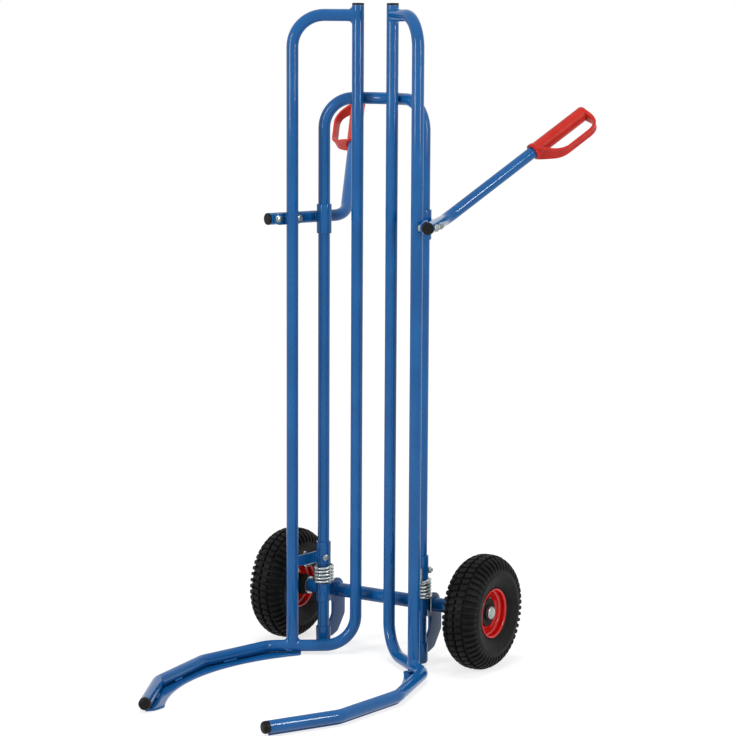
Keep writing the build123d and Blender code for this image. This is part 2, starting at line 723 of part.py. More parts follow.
single = {
    "rear_hoop": make_hoop(),
    "axle_tube": rod((-AXLE_TUBE_END, AXLE_Y, AXLE_Z), (AXLE_TUBE_END, AXLE_Y, AXLE_Z), AXLE_TUBE_D)
    - rod((-AXLE_TUBE_END, AXLE_Y, AXLE_Z), (AXLE_TUBE_END, AXLE_Y, AXLE_Z), SHAFT_BORE),
    "axle_shaft": rod((-SHAFT_END, AXLE_Y, AXLE_Z), (SHAFT_END, AXLE_Y, AXLE_Z), SHAFT_D),
}

paired = {
    "foot_cap": make_foot(),
    "spring_collar": ring(HINGE_X, 0, COLLAR_Z, SLEEVE_D, SLEEVE_BORE),
    "hanger_plate": make_hanger(),
    "inner_washer": axle_ring(washer_start, WASHER_T, INNER_WASHER_D, SHAFT_BORE),
    "outer_washer": axle_ring(outer_washer_start, WASHER_T, SLEEVE_D, SHAFT_BORE),
    "axle_cap": make_axle_cap(),
    "spring": make_spring(),
    "cradle_tube": make_cradle_tube(),
    "outer_upright": make_outer_upright(),
    "fork_plate": make_fork_plate(),
    "top_cap": make_plug((*INNER, ARM_TOP), UP, TOP_PLUG),
    "fork_cap": make_plug((*FORK_TIP, FORK_Z), fork_way, FORK_PLUG),
    "handle_cap": make_plug(handle_axis()[0], ALONG, TOP_PLUG),
    "upper_sleeve": ring(HINGE_X, 0, UPPER_SLEEVE_Z, SLEEVE_D, SLEEVE_BORE),
    "sleeve_lug": make_sleeve_lug(),
    "lower_sleeve": make_lower_sleeve(),
    "lower_bracket": make_bracket(),
    "stop_bolt": make_stop_bolt(),
    "handle_tube": make_handle_tube(),
    "handle_plate": make_handle_plate(),
    "handle_bolts": make_handle_bolts(),
    "grip": make_grip(),
    "tyre": make_tyre(),
    "rim_outer": make_outer_rim(),
    "rim_inner": make_rim(-1),
    "hub": make_hub(),
    "rim_bolts": make_rim_bolts(),
    "valve": make_valve(),
}

model = dict(single)
for name, shape in paired.items():
    model["right_" + name] = shape
    model["left_" + name] = mirror(shape, about=Plane.YZ)

placed = {name: Pos(0, HINGE_Y, 0) * shape for name, shape in model.items()}
for name, shape in placed.items():
    export_step(shape, f"parts/{name}.step")

boxes = [shape.bounding_box() for shape in placed.values()]
low = [min(tuple(box.min)[i] for box in boxes) for i in range(3)]
high = [max(tuple(box.max)[i] for box in boxes) for i in range(3)]
print("nodes", len(placed), "from", [round(v, 2) for v in low], "to", [round(v, 2) for v in high])
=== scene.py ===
# %% [markdown]
# # A tyre hand truck
# Two sprung cradle arms of bent blue tube swing on the uprights of a fixed hoop on two air-filled wheels.
# Squeezing the red handles together opens the forks, and a coil spring on each upright closes them again.
# The solid model comes in as a fixed frame. This lesson adds what the eye looks for on the real truck:
# tread, rims, springs, grips, bolts, weld beads, and a finish for every surface.

import bmesh
import bpy
import numpy as np
from mathutils import Matrix, Vector


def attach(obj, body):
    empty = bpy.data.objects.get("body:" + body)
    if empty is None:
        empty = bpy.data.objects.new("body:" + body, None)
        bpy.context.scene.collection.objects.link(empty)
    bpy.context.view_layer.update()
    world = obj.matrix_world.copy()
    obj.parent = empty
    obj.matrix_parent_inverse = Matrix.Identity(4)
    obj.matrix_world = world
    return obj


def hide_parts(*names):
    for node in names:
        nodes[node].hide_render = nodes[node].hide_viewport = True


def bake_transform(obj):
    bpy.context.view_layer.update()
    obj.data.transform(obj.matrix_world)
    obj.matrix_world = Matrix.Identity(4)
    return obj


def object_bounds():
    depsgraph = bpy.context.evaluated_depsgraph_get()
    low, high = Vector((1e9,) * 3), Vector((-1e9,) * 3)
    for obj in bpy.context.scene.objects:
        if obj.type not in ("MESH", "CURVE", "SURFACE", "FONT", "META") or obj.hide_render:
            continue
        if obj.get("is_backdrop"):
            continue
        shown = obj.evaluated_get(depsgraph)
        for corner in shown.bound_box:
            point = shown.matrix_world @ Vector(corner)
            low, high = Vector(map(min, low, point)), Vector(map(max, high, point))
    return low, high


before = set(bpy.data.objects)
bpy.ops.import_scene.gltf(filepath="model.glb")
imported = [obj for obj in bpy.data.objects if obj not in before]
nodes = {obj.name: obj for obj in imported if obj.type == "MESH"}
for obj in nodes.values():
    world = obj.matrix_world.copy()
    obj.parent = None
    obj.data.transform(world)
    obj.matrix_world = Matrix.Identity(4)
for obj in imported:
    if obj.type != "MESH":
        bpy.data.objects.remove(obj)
cad_low, cad_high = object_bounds()

# %% [markdown]
# ## Colour and nodes
# Colours are picked on a screen, so they are sRGB hex values, and shading needs them linear.
# One small function adds a shader node with its settings and its links, which keeps each recipe short.


# %% Colour and node helpers
def linear(hex_colour):
    """sRGB hex to linear RGBA: c / 12.92 near black, else ((c + 0.055) / 1.055) to the power 2.4."""
    c = np.array([int(hex_colour[i : i + 2], 16) for i in (1, 3, 5)]) / 255
    return (*np.where(c <= 0.04045, c / 12.92, ((c + 0.055) / 1.055) ** 2.4).tolist(), 1.0)


def empty_tree(owner):
    """The node tree of a material or a world, with nothing in it yet."""
    owner.use_nodes = True
    owner.node_tree.nodes.clear()
    return owner.node_tree


def add(tree, kind, inputs=None, **settings):
    """Adds a shader node. Each input is a plain value, or the socket that it is linked from."""
    node = tree.nodes.new("ShaderNode" + kind)
    for name, value in settings.items():
        setattr(node, name, value)
    for name, value in (inputs or {}).items():
        if isinstance(value, bpy.types.NodeSocket):
            tree.links.new(value, node.inputs[name])
        else:
            node.inputs[name].default_value = value
    return node


print("middle grey is", round(linear("#808080")[0], 3), "in linear light")

# %% [markdown]
# ## A recipe for finishes
# No paint or moulding is one flat colour: its tone drifts, and a fine grain breaks its gloss. Painted maps
# would have to be fitted to every piece. Noise needs no fitting, and its scale follows from a size in mm.

# %% Recipe
MM_PER_M = 1000.0
DRIFT_LOW, DRIFT_HIGH = 0.35, 0.65  # noise seldom leaves this range, so both tones come out fully
ROUGH_SPREAD, BUMP_STRENGTH = 0.2, 0.6
MIX_DARK, MIX_LIGHT, MIX_OUT = 6, 7, 2  # a Mix node's colour sockets, by number because their names repeat


def coated(name, dark, light, patch_mm, grain_mm, grain_depth_mm, rough, specular=0.5, metallic=0.0):
    """A finish whose colour drifts between two near tones in soft patches, over a fine surface grain.

    Both patterns are noise on Object coordinates, with one cell of noise per patch_mm or grain_mm.
    The drift of colour is smooth, the grain lifts the surface by grain_depth_mm, and roughness follows it."""
    material = bpy.data.materials.new(name)
    tree = empty_tree(material)
    place = add(tree, "TexCoord").outputs["Object"]
    patches = add(tree, "TexNoise", {"Vector": place, "Scale": MM_PER_M / patch_mm, "Detail": 3.0})
    tone_range = {"From Min": DRIFT_LOW, "From Max": DRIFT_HIGH}
    drift = add(tree, "MapRange", {"Value": patches.outputs["Fac"], **tone_range}).outputs["Result"]
    tones = {"Factor": drift, MIX_DARK: linear(dark), MIX_LIGHT: linear(light)}
    colour = add(tree, "Mix", tones, data_type="RGBA")
    grain = add(tree, "TexNoise", {"Vector": place, "Scale": MM_PER_M / grain_mm, "Detail": 2.0}).outputs["Fac"]
    spread = {"To Min": rough * (1 - ROUGH_SPREAD), "To Max": rough * (1 + ROUGH_SPREAD)}
    dull = add(tree, "MapRange", {"Value": grain, **spread}).outputs["Result"]
    depth = {"Distance": grain_depth_mm / MM_PER_M, "Strength": BUMP_STRENGTH}
    lift = add(tree, "Bump", {"Height": grain, **depth}).outputs["Normal"]
    look = {"Base Color": colour.outputs[MIX_OUT], "Roughness": dull, "Normal": lift}
    skin = add(tree, "BsdfPrincipled", {**look, "Specular IOR Level": specular, "Metallic": metallic})
    add(tree, "OutputMaterial", {"Surface": skin.outputs["BSDF"]})
    return material


print("recipe: roughness varies by", ROUGH_SPREAD, "of itself either way")

# %% [markdown]
# ## Finishes
# Tubes and plates are steel with a blue powder coat, and the pressed rims have a red baked enamel. Grips, plugs
# and hubs are moulded plastics, the hardware is zinc-plated steel, and the tyres are rubber. Colour and gloss
# start from what these are, and were then matched to the truck. Their true grains, a few tenths of a millimetre
# to about two, are too fine to show, so each is drawn as coarse as it needs to be.

# %% Finishes
# Two tones, then in mm the patches, the grain and its depth, then the roughness.
# Powder coat is sprayed on dry and baked, which leaves a hard gloss with a faint orange peel.
blue_powder_coat = coated(
    "blue_polyester_powder_coat", "#0e538f", "#145b98", 90.0, 6.0, 0.0025, 0.09, specular=0.26)
# Enamel flows out before it is baked, so its gloss is deeper and its peel fainter.
red_baked_enamel = coated("red_baked_enamel", "#cc100f", "#d41714", 40.0, 6.0, 0.002, 0.07, specular=0.42)
# Polypropylene has a satin skin from its mould, with soft, broad highlights.
red_polypropylene = coated(
    "red_moulded_polypropylene", "#b62a22", "#be3028", 30.0, 6.0, 0.003, 0.30, specular=0.12)
# The plugs and hubs come from rougher moulds, so they are matt and a little grainy.
black_polyethylene = coated(
    "black_moulded_polyethylene", "#0d0d0e", "#131314", 12.0, 0.7, 0.04, 0.45, specular=0.14)
black_nylon = coated("black_moulded_nylon", "#0c0d0e", "#121313", 20.0, 0.9, 0.05, 0.50, specular=0.14)
# Bright zinc is a cool grey metal, duller in places, and paler on drawn wire.
bright_zinc = coated("bright_zinc_plate", "#808a8a", "#acb4b2", 9.0, 0.6, 0.01, 0.30, metallic=1.0)
zinc_spring_wire = coated("zinc_plated_spring_wire", "#a2acae", "#c6cbc8", 7.0, 0.9, 0.02, 0.32, metallic=1.0)
# Carbon black makes rubber nearly lightless, and its grain leaves only a dim sheen.
tyre_rubber = coated("carbon_black_tyre_rubber", "#131313", "#1b1b1b", 25.0, 0.8, 0.05, 0.50, specular=0.08)
print("finishes:", len(bpy.data.materials))

# %% [markdown]
# ## Surfaces from arrays
# Every new piece is one or more grids of points, worked out at once as numpy arrays in millimetres.
# A grid always closes round its columns. Its rows close too in a ring, and run from end to end in a rod.
# Sizes below are measured from the plane of the hoop's uprights, which stands behind the middle of the truck.

# %% Grids to meshes
MM = 1 / MM_PER_M
HINGE_Y = 113.87
RING, ROD = True, False
MERGE_M, SLIVER_M, SHARP_DEG = 2e-6, 1e-7, 38.0


def quads(rows, cols, ring):
    """Corner numbers of the quads on a grid whose columns wrap, and its rows too in a ring."""
    i = np.arange(rows if ring else rows - 1)[:, None]
    j = np.arange(cols)[None, :]
    k, m = (i + 1) % rows, (j + 1) % cols
    return np.stack([i * cols + j, i * cols + m, k * cols + m, k * cols + j], -1).reshape(-1, 4)


def piece(name, grids, material, body, stands_for=()):
    """One object from grids of shape (..., rows, cols, 3), each a RING or a ROD, merged and facing outwards."""
    points, faces, used = [], [], 0
    for grid, ring in grids:
        many = grid.reshape(-1, *grid.shape[-3:])
        count, rows, cols, _ = many.shape
        first = used + np.arange(count)[:, None, None] * rows * cols
        faces.append((quads(rows, cols, ring)[None] + first).reshape(-1, 4))
        points.append(many.reshape(-1, 3))
        used += count * rows * cols
    placed = (np.concatenate(points) + (0, HINGE_Y, 0)) * MM
    mesh = bpy.data.meshes.new(name)
    mesh.from_pydata(placed.tolist(), [], np.concatenate(faces).tolist())
    shell = bmesh.new()
    shell.from_mesh(mesh)
    bmesh.ops.remove_doubles(shell, verts=shell.verts, dist=MERGE_M)
    bmesh.ops.dissolve_degenerate(shell, edges=shell.edges, dist=SLIVER_M)
    bmesh.ops.recalc_face_normals(shell, faces=shell.faces)
    shell.to_mesh(mesh)
    shell.free()
    mesh.polygons.foreach_set("use_smooth", np.ones(len(mesh.polygons), bool))
    mesh.set_sharp_from_angle(angle=np.radians(SHARP_DEG))
    mesh.materials.append(material)
    made = bpy.data.objects.new(name, mesh)
    bpy.context.scene.collection.objects.link(made)
    if body:
        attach(made, body)
    if stands_for:
        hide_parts(*stands_for)
    return made


print("a grid of 8 by 6 has", len(quads(8, 6, RING)), "faces as a ring and", len(quads(8, 6, ROD)), "as a rod")

# %% [markdown]
# ## Left and right
# The truck is its own mirror image, so each piece is worked out for the right, and the left one has x turned
# round. That is safe because every mesh gets its normals recalculated.

# %% Pairs
SIDES = {"right": 1.0, "left": -1.0}


def mirrored(grids, sign):
    """The right-hand grids as they are, or their mirror images for the left."""
    return [(grid * (sign, 1.0, 1.0), ring) for grid, ring in grids]


def pair(name, grids, material, body, node=None):
    """A piece for each side, which stands for that side's node. Braces in the body's name become the side."""
    for side, sign in SIDES.items():
        stands_for = [f"{side}_{node}"] if node else ()
        piece(f"{side}_{name}", mirrored(grids, sign), material, body.format(side), stands_for)


print("sides:", *SIDES)

# %% [markdown]
# ## Tyre casings
# The tyres are 260 x 85 mm, with smooth sidewalls that carry two thin moulded ribs. A casing is round, so it is
# turned from one outline: a smooth curve through measured places outside, another inside, and their mirror.


# %% Turned surfaces
def unit(v):
    """Vectors scaled to length one."""
    v = np.asarray(v, float)
    return v / np.linalg.norm(v, axis=-1, keepdims=True)


def full_turn(steps):
    """Even angles once round."""
    return np.linspace(0, 2 * np.pi, steps, endpoint=False)


def spokes(axis, turns, aside=(0.31, 0.57, 0.76)):
    """Unit vectors round an axis: cos t e1 + sin t e2, where e1 = axis x aside and e2 = axis x e1."""
    e1 = unit(np.cross(axis, aside))
    e2 = np.cross(axis, e1)
    t = full_turn(turns)[:, None]
    return np.cos(t) * e1 + np.sin(t) * e2


def lathe(profile, origin, axis, turns=96):
    """A turned surface: P(i, j) = origin + x_i axis + r_i spoke_j, for a profile of (x, r)."""
    axis = unit(axis)
    x, r = np.asarray(profile, float).T[..., None, None]
    return np.asarray(origin, float) + x * axis + r * spokes(axis, turns)


def smooth_curve(points, steps):
    """A Catmull-Rom curve: between P1 and P2 it is the cubic whose slopes there are (P2-P0)/2 and (P3-P1)/2."""
    p = np.concatenate([[2 * points[0] - points[1]], points, [2 * points[-1] - points[-2]]])
    p0, p1, p2, p3 = p[:-3, None], p[1:-2, None], p[2:-1, None], p[3:, None]
    t = np.linspace(0, 1, steps, endpoint=False)[None, :, None]
    square, cube = 2 * p0 - 5 * p1 + 4 * p2 - p3, 3 * p1 - p0 - 3 * p2 + p3
    curve = 0.5 * (2 * p1 + (p2 - p0) * t + square * t**2 + cube * t**3)
    return np.concatenate([curve.reshape(-1, points.shape[1]), points[-1:]])


print("one place turned round:", lathe([(0, 1)], (0, 0, 0), (0, 0, 1)).shape)

# %% Tyre casings
WHEEL = np.array([259.0, 54.5, 130.0])
CROSSWISE = np.array([1.0, 0.0, 0.0])
CASING_TURNS, OUTSIDE_STEPS, INSIDE_STEPS = 160, 6, 4
CASING_OUTSIDE = np.array(
    [(0, 123.1), (9, 122.5), (17.6, 120.8), (25.5, 116.2), (32.4, 110.6), (37.5, 103.8), (40.5, 97.2),
     (41.7, 91.5), (41.5, 86), (39.2, 76), (35.8, 67.5), (32.4, 61.2), (29.4, 57.6)]
)
CASING_INSIDE = np.array(
    [(27.5, 55.0), (21.5, 55.5), (23, 62), (29.5, 78), (33.5, 96), (29, 110), (17, 117.5), (0, 120.5)]
)
SIDEWALL_RIBS = ((69.0, 1.6, 0.9), (88.0, 1.2, 0.4))  # radius, half width and height


def casing_profile():
    """The closed outline of the casing: crown to bead outside, and bead to crown inside, on both halves.

    Two shallow ribs of Gaussian section run round the sidewall, near the rim and below the bars."""
    past_crown = CASING_OUTSIDE[1:2] * (-1, 1)
    outside = smooth_curve(np.concatenate([past_crown, CASING_OUTSIDE]), OUTSIDE_STEPS)[OUTSIDE_STEPS:]
    r = outside[:, 1]
    outside[:, 0] += sum(high * np.exp(-(((r - at) / wide) ** 2)) for at, wide, high in SIDEWALL_RIBS)
    half = np.concatenate([outside, smooth_curve(CASING_INSIDE, INSIDE_STEPS)])
    return np.concatenate([half, (half * (-1, 1))[::-1][1:-1]]), outside


casing, outside_line = casing_profile()
turned_casing = lathe(casing, WHEEL, CROSSWISE, CASING_TURNS)
pair("tyre_casing", [(turned_casing, RING)], tyre_rubber, "{}_wheel", "tyre")
print("casings:", len(casing), "points round the section")

# %% [markdown]
# ## Tyre tread
# Two rows of dimpled blocks run round the crown, split by a groove, and a row of bars wraps over each shoulder,
# which gives the tyre its toothed outline. A bump map would leave that outline round, so blocks and bars are
# real: small closed lumps of a few dozen faces, set into the casing. Their sides lean in, to leave the mould.


# %% Places on the casing
def travelled(line):
    """How far each point of a line is from its start, along the line."""
    return np.concatenate([[0], np.cumsum(np.linalg.norm(np.diff(line, axis=0), axis=1))])


def on_casing(outside, along, angle, height):
    """Points on the tread: `along` mm over the casing from the crown's middle, at an angle round it.

    Each is lifted off the outline (x, r) by height, square to the outline's slope there."""
    along, angle, height = np.broadcast_arrays(along, angle, height)
    slope = unit(np.gradient(outside, axis=0))
    gone = travelled(outside)
    x, r, sx, sr = (np.interp(np.abs(along), gone, column) for column in (*outside.T, *slope.T))
    x, r = x - height * sr, r + height * sx
    return WHEEL + np.stack([np.sign(along) * x, r * np.cos(angle), r * np.sin(angle)], -1)


def capped(grid):
    """The same grid with its first and last rows drawn together to their middles, which closes both ends."""
    ends = grid[..., :1, :, :], grid[..., -1:, :, :]
    first, last = (np.broadcast_to(end.mean(-2, keepdims=True), end.shape) for end in ends)
    return np.concatenate([first, grid, last], axis=-3)


print("over the casing, crown to bead:", round(float(travelled(outside_line)[-1])), "mm")

# %% Tyre tread
LUGS_ROUND, BLOCK_GAP, BAR_GAP = 50, 5.2, 5.4
PITCH = 2 * np.pi / LUGS_ROUND
NUMBER = np.arange(LUGS_ROUND)[:, None, None]
BLOCK_ROWS, BLOCK_HALF_W, BLOCK_HEIGHT, BLOCK_CUT = (-9.2, 9.2), 7.2, 6.5, 0.80
BLOCK_SCALES = np.array([0, 1.06, 0.92, 0.78, 0.34, 0.0])
BLOCK_LEVELS = np.array([-1.2, -1.2, BLOCK_HEIGHT - 0.8, BLOCK_HEIGHT, BLOCK_HEIGHT, BLOCK_HEIGHT - 1.2])
ROW_SKEW = np.tan(np.radians(9.6))
BAR_START, BAR_END, BAR_HEIGHT, BAR_STATIONS = 20.2, 52.0, 6.0, 9
BAR_LEFT_OVER = 0.03  # the share of its height that is left at a bar's end
BAR_SHIFT, BAR_DROP, BAR_END_R = np.radians(0.79), 3.0, 100.0
BAR_SECTION = np.array([(-1.06, -1.0), (-0.92, 0.6), (-0.56, 1), (0.56, 1), (0.92, 0.6), (1.06, -1.0)])


def crown_blocks(outside):
    """Rings of a square with cut corners, from a pole under the casing to the dimple in the block's top.

    A block's place round the tyre is sheared by ROW_SKEW across it."""
    crown_r = outside[0, 1] + BLOCK_HEIGHT
    c = BLOCK_CUT
    corners = np.array([(1, -c), (1, c), (c, 1), (-c, 1), (-1, c), (-1, -c), (-c, -1), (c, -1)])
    spread = BLOCK_SCALES[:, None, None] * corners * (BLOCK_HALF_W, (crown_r * PITCH - BLOCK_GAP) / 2)
    across = np.array(BLOCK_ROWS)[:, None, None, None] + spread[..., 0]
    angle = NUMBER * PITCH + (spread[..., 1] - ROW_SKEW * across) / crown_r
    return on_casing(outside, across, angle, BLOCK_LEVELS[:, None])


def shoulder_bars(outside):
    """A six-cornered section carried from the groove over the shoulder, as u goes from 0 to 1.

    Its height is BAR_HEIGHT (1 - u^4) and a little more, and it is as wide as the pitch there less the gap."""
    u = np.linspace(0, 1, BAR_STATIONS)[:, None]
    sideways, up = BAR_SECTION.T
    height = np.where(up > 0, up * BAR_HEIGHT * (1 + BAR_LEFT_OVER - u**4), up)
    radius = np.linspace(outside[0, 1] - BAR_DROP, BAR_END_R, BAR_STATIONS)[:, None]
    wide = sideways * (radius * PITCH - BAR_GAP) / 2 / radius
    side = np.array([-1.0, 1.0])[:, None, None, None]
    angle = (NUMBER + 0.5) * PITCH - side * BAR_SHIFT + wide
    return capped(on_casing(outside, side * (BAR_START + (BAR_END - BAR_START) * u), angle, height))


blocks, bars = crown_blocks(outside_line), shoulder_bars(outside_line)
pair("tyre_tread", [(blocks, ROD), (bars, ROD)], tyre_rubber, "{}_wheel")
print("tread:", blocks[..., 0, 0, 0].size, "blocks and", bars[..., 0, 0, 0].size, "bars on each tyre")

# %% [markdown]
# ## Rims
# Each rim is two pressed dishes bolted back to back. From the middle out, a dish has a flat face, a cone, a
# step, a straight well and a rolled lip that stands proud of the tyre's bead.
# Pressed sheet has soft radii, so every corner of the outline is rounded before it is turned about the axle.

# %% Rounded outlines
MOST_OF_EDGE = 0.48


def rounded(corners, reach, steps=5, closed=True):
    """Each corner C becomes the parabola (1-t)^2 A + 2t(1-t) C + t^2 B.

    A and B are `reach` away from C on its two edges, or nearly half an edge where that is shorter."""
    c = np.asarray(corners, float)
    before, after = np.roll(c, 1, -2) - c, np.roll(c, -1, -2) - c
    back, ahead = (np.linalg.norm(v, axis=-1, keepdims=True) for v in (before, after))
    wanted = np.broadcast_to(np.asarray(reach, float).reshape(-1, 1), (c.shape[-2], 1)).copy()
    if not closed:
        wanted[[0, -1]] = 0.0
    a = c + before / back * np.minimum(wanted, MOST_OF_EDGE * back)
    b = c + after / ahead * np.minimum(wanted, MOST_OF_EDGE * ahead)
    t = np.linspace(0, 1, steps)[:, None]
    curve = (1 - t) ** 2 * a[..., None, :] + 2 * t * (1 - t) * c[..., None, :] + t**2 * b[..., None, :]
    return curve.reshape(*c.shape[:-2], -1, c.shape[-1])


def turned(outline, soft, origin, axis, turns=96, shape=RING, steps=5):
    """The lathe's surface from an outline with rounded corners. A rod's outline starts and ends on its axis."""
    return [(lathe(rounded(outline, soft, steps, closed=shape), origin, axis, turns), shape)]


print("a square with round corners has", len(rounded([(0, 0), (1, 0), (1, 1), (0, 1)], 0.2)), "points")

# %% Rims
DISH_SOFT = 1.6
DISH = np.array([
    (0.1, 24.2), (0.1, 41.5), (9, 48.8), (15, 53.6), (27.4, 54.4), (28.6, 54.6), (29.4, 55.8), (30.7, 55.4),
    (31.0, 54.0), (30.0, 52.2), (28.0, 50.8), (18, 50.6), (15.8, 46.6), (12, 45.4), (2.4, 40.2), (2.4, 24.2),
])
for half, flip in (("outer", 1.0), ("inner", -1.0)):
    dish = turned(DISH * (flip, 1), DISH_SOFT, WHEEL, CROSSWISE)
    pair(f"rim_{half}_dish", dish, red_baked_enamel, "{}_wheel", f"rim_{half}")
print("rims:", len(DISH), "corners in a dish")

# %% [markdown]
# ## Hubs and valves
# A moulded hub sits in the middle, long on the inside, with a flange on the outer dish and a wider face with a
# sunk ring outside that. A rubber valve stem stands inwards from the well. Both are turned.

# %% Hubs and valves
HUB_SOFT, VALVE_SOFT, VALVE_TURNS = 0.9, 0.6, 24
HUB = [
    (-51, 10.2), (-51, 19.5), (-50, 20.5), (-39, 24), (2.5, 24), (2.5, 30), (7.5, 30), (7.5, 26), (11, 26),
    (11, 31), (14, 31), (16, 29.2), (16, 25.5), (15, 24.6), (15, 21.4), (16, 20.6), (16, 17.6), (13.2, 16.6),
    (13.2, 10.2),
]
VALVE_X, VALVE_ANGLE = 14.0, np.pi
VALVE = [
    (-53, 0), (-53, 3.4), (-49, 3.5), (-46, 4.3), (-43.5, 4.3), (-42.5, 3.2), (-42, 4.2), (-34.2, 4.2),
    (-33, 3.2), (-33, 0),
]


def wheel_point(across, out, angle):
    """A place on the right wheel, across it from its middle plane and out from the axle at an angle."""
    return WHEEL + np.array([across, out * np.cos(angle), out * np.sin(angle)])


hub = turned(HUB, HUB_SOFT, WHEEL, CROSSWISE)
pair("moulded_hub", hub, black_nylon, "{}_wheel", "hub")
valve_axis = unit(wheel_point(0, -1, VALVE_ANGLE) - WHEEL)
valve = turned(VALVE, VALVE_SOFT, wheel_point(VALVE_X, 0, 0), valve_axis, VALVE_TURNS, ROD)
pair("valve_stem", valve, black_polyethylene, "{}_wheel", "valve")
print("hubs:", len(HUB), "corners in a hub and", len(VALVE), "in a valve")

# %% [markdown]
# ## Rim bolts
# Four small hex bolts clamp each pair of dishes. A hex head is a turned form too: its radius follows the flats,
# and its chamfer is where a cone cuts the corners.

# %% Rim bolts
HEX_TURNS, HEX_CROWN, HEX_ASIDE = 48, 0.94, (0.23, 0.41, 0.88)
RIM_BOLT_ANGLES, RIM_BOLT_R, RIM_FACE = np.radians([45, 135, 225, 315]), 35, 2.4
RIM_HEX_WIDTH, RIM_HEAD_H, RIM_NUT_H = 8.8, 4.0, 5.0


def hexagon(seat, way, width, height):
    """A hex head: radius width/2 / cos(angle from the flat's middle), its top edge cut by a 30 degree cone."""
    t = full_turn(HEX_TURNS)
    from_flat = (t + np.pi / 6) % (np.pi / 3) - np.pi / 6
    radius = width / 2 / np.cos(from_flat)
    crown = width / 2 * HEX_CROWN
    edge = height - (radius - crown) * np.tan(np.pi / 6)
    zero = np.zeros(HEX_TURNS)
    r = np.stack([zero, radius, radius, zero + crown, zero])
    h = np.stack([zero, zero, edge, zero + height, zero + height])
    way = unit(way)
    return np.asarray(seat, float) + h[..., None] * way + r[..., None] * spokes(way, HEX_TURNS, HEX_ASIDE)


rim_hexes = [
    hexagon(wheel_point(side * RIM_FACE, RIM_BOLT_R, angle), side * CROSSWISE, RIM_HEX_WIDTH, height)
    for side, height in ((1, RIM_HEAD_H), (-1, RIM_NUT_H)) for angle in RIM_BOLT_ANGLES
]
pair("rim_bolt_set", [(np.stack(rim_hexes), ROD)], bright_zinc, "{}_wheel", "rim_bolts")
print("rim bolts:", len(RIM_BOLT_ANGLES), "in each wheel")

# %% [markdown]
# ## Axle caps and washers
# A push-on cap of zinc-plated sheet closes each end of the axle. It is a shallow dome with a pressed dimple.
# Beside each hub runs a plated washer. All are turned from rounded outlines of (along the axle, radius).

# %% Axle caps and washers
AXLE = np.array([0.0, 54.5, 130.0])
AXLE_RINGS = {
    "axle_cap": ([(278.5, 10.3), (278.5, 15.4), (283.2, 15.0), (285.0, 13.0), (285.0, 6.0), (284.0, 4.6),
                  (284.0, 0), (282.2, 0), (282.2, 10.3)], 1.1),
    "inner_washer": ([(204.3, 10.1), (204.3, 20), (207.1, 20), (207.1, 10.1)], 0.5),
    "outer_washer": ([(275.3, 10.1), (275.3, 15.0), (278.1, 15.0), (278.1, 10.1)], 0.5),
}
for name, (outline, soft) in AXLE_RINGS.items():
    pair(f"{name}_plated", turned(outline, soft, AXLE, CROSSWISE), bright_zinc, "frame", name)
print("axle:", len(AXLE_RINGS), "plated pieces on each end")

# %% [markdown]
# ## Torsion springs
# A spring of 6 mm wire winds five times round each upright, between the fixed collar and the arm's lower
# sleeve. Its lower leg hooks behind the hanger plate and its upper leg behind the bracket, so it winds up as
# the arm opens. The wire is one tube along one line.

# %% Places on the arm
HINGE = np.array([131.0, 0.0, 0.0])
OUTER = np.array([162.4, -80.6, 0.0])
INNER = np.array([45.0, 4.0, 0.0])
UP = np.array([0.0, 0.0, 1.0])
ALONG = unit(OUTER - HINGE)
OUTWARD = np.array([-ALONG[1], ALONG[0], 0.0])
REACH = np.linalg.norm(OUTER - HINGE)


def at_hinge(along, outward, z):
    """A place by its distance from the hinge towards the outer upright, out from that line, and its height."""
    return HINGE + ALONG * along + OUTWARD * outward + UP * z


print("arm: outer upright", round(float(REACH), 1), "mm from the hinge")


# %% Swept surfaces
def circle(steps):
    """Unit circle as (across, out) pairs."""
    t = full_turn(steps)
    return np.stack([np.cos(t), np.sin(t)], -1)


def swept(path, rings, toward, shape=ROD):
    """A ring of (across, out) offsets carried along a path: P(i, j) = path_i + a_ij across_i + b_ij out_i.

    The path's direction is d, across is d x toward and out is across x d. `toward` never lies along d."""
    d = unit(np.roll(path, -1, 0) - np.roll(path, 1, 0) if shape == RING else np.gradient(path, axis=0))
    across = unit(np.cross(d, toward))
    out = np.cross(across, d)
    rings = np.broadcast_to(rings, (len(path), *np.shape(rings)[-2:]))
    grid = path[:, None] + rings[..., :1] * across[:, None] + rings[..., 1:] * out[:, None]
    return (grid if shape == RING else capped(grid)), shape


print("a circle of four:", circle(4).round(3).tolist())

# %% Springs
WIRE_D, WIRE_SIDES, COIL_R, COILS, COIL_STEPS = 6.0, 16, 21.5, 5, 260
COIL_LOW, COIL_HIGH = 159.3, 198.7
LOW_LEG, LOW_END = HINGE + (7.0, 32.5, 0), 118.0
HIGH_LEG, HIGH_END = at_hinge(46.7, 7.5, 0), 233.5
LEG_BEND, LEG_STEPS, TOO_CLOSE = 7.0, 8, 0.05


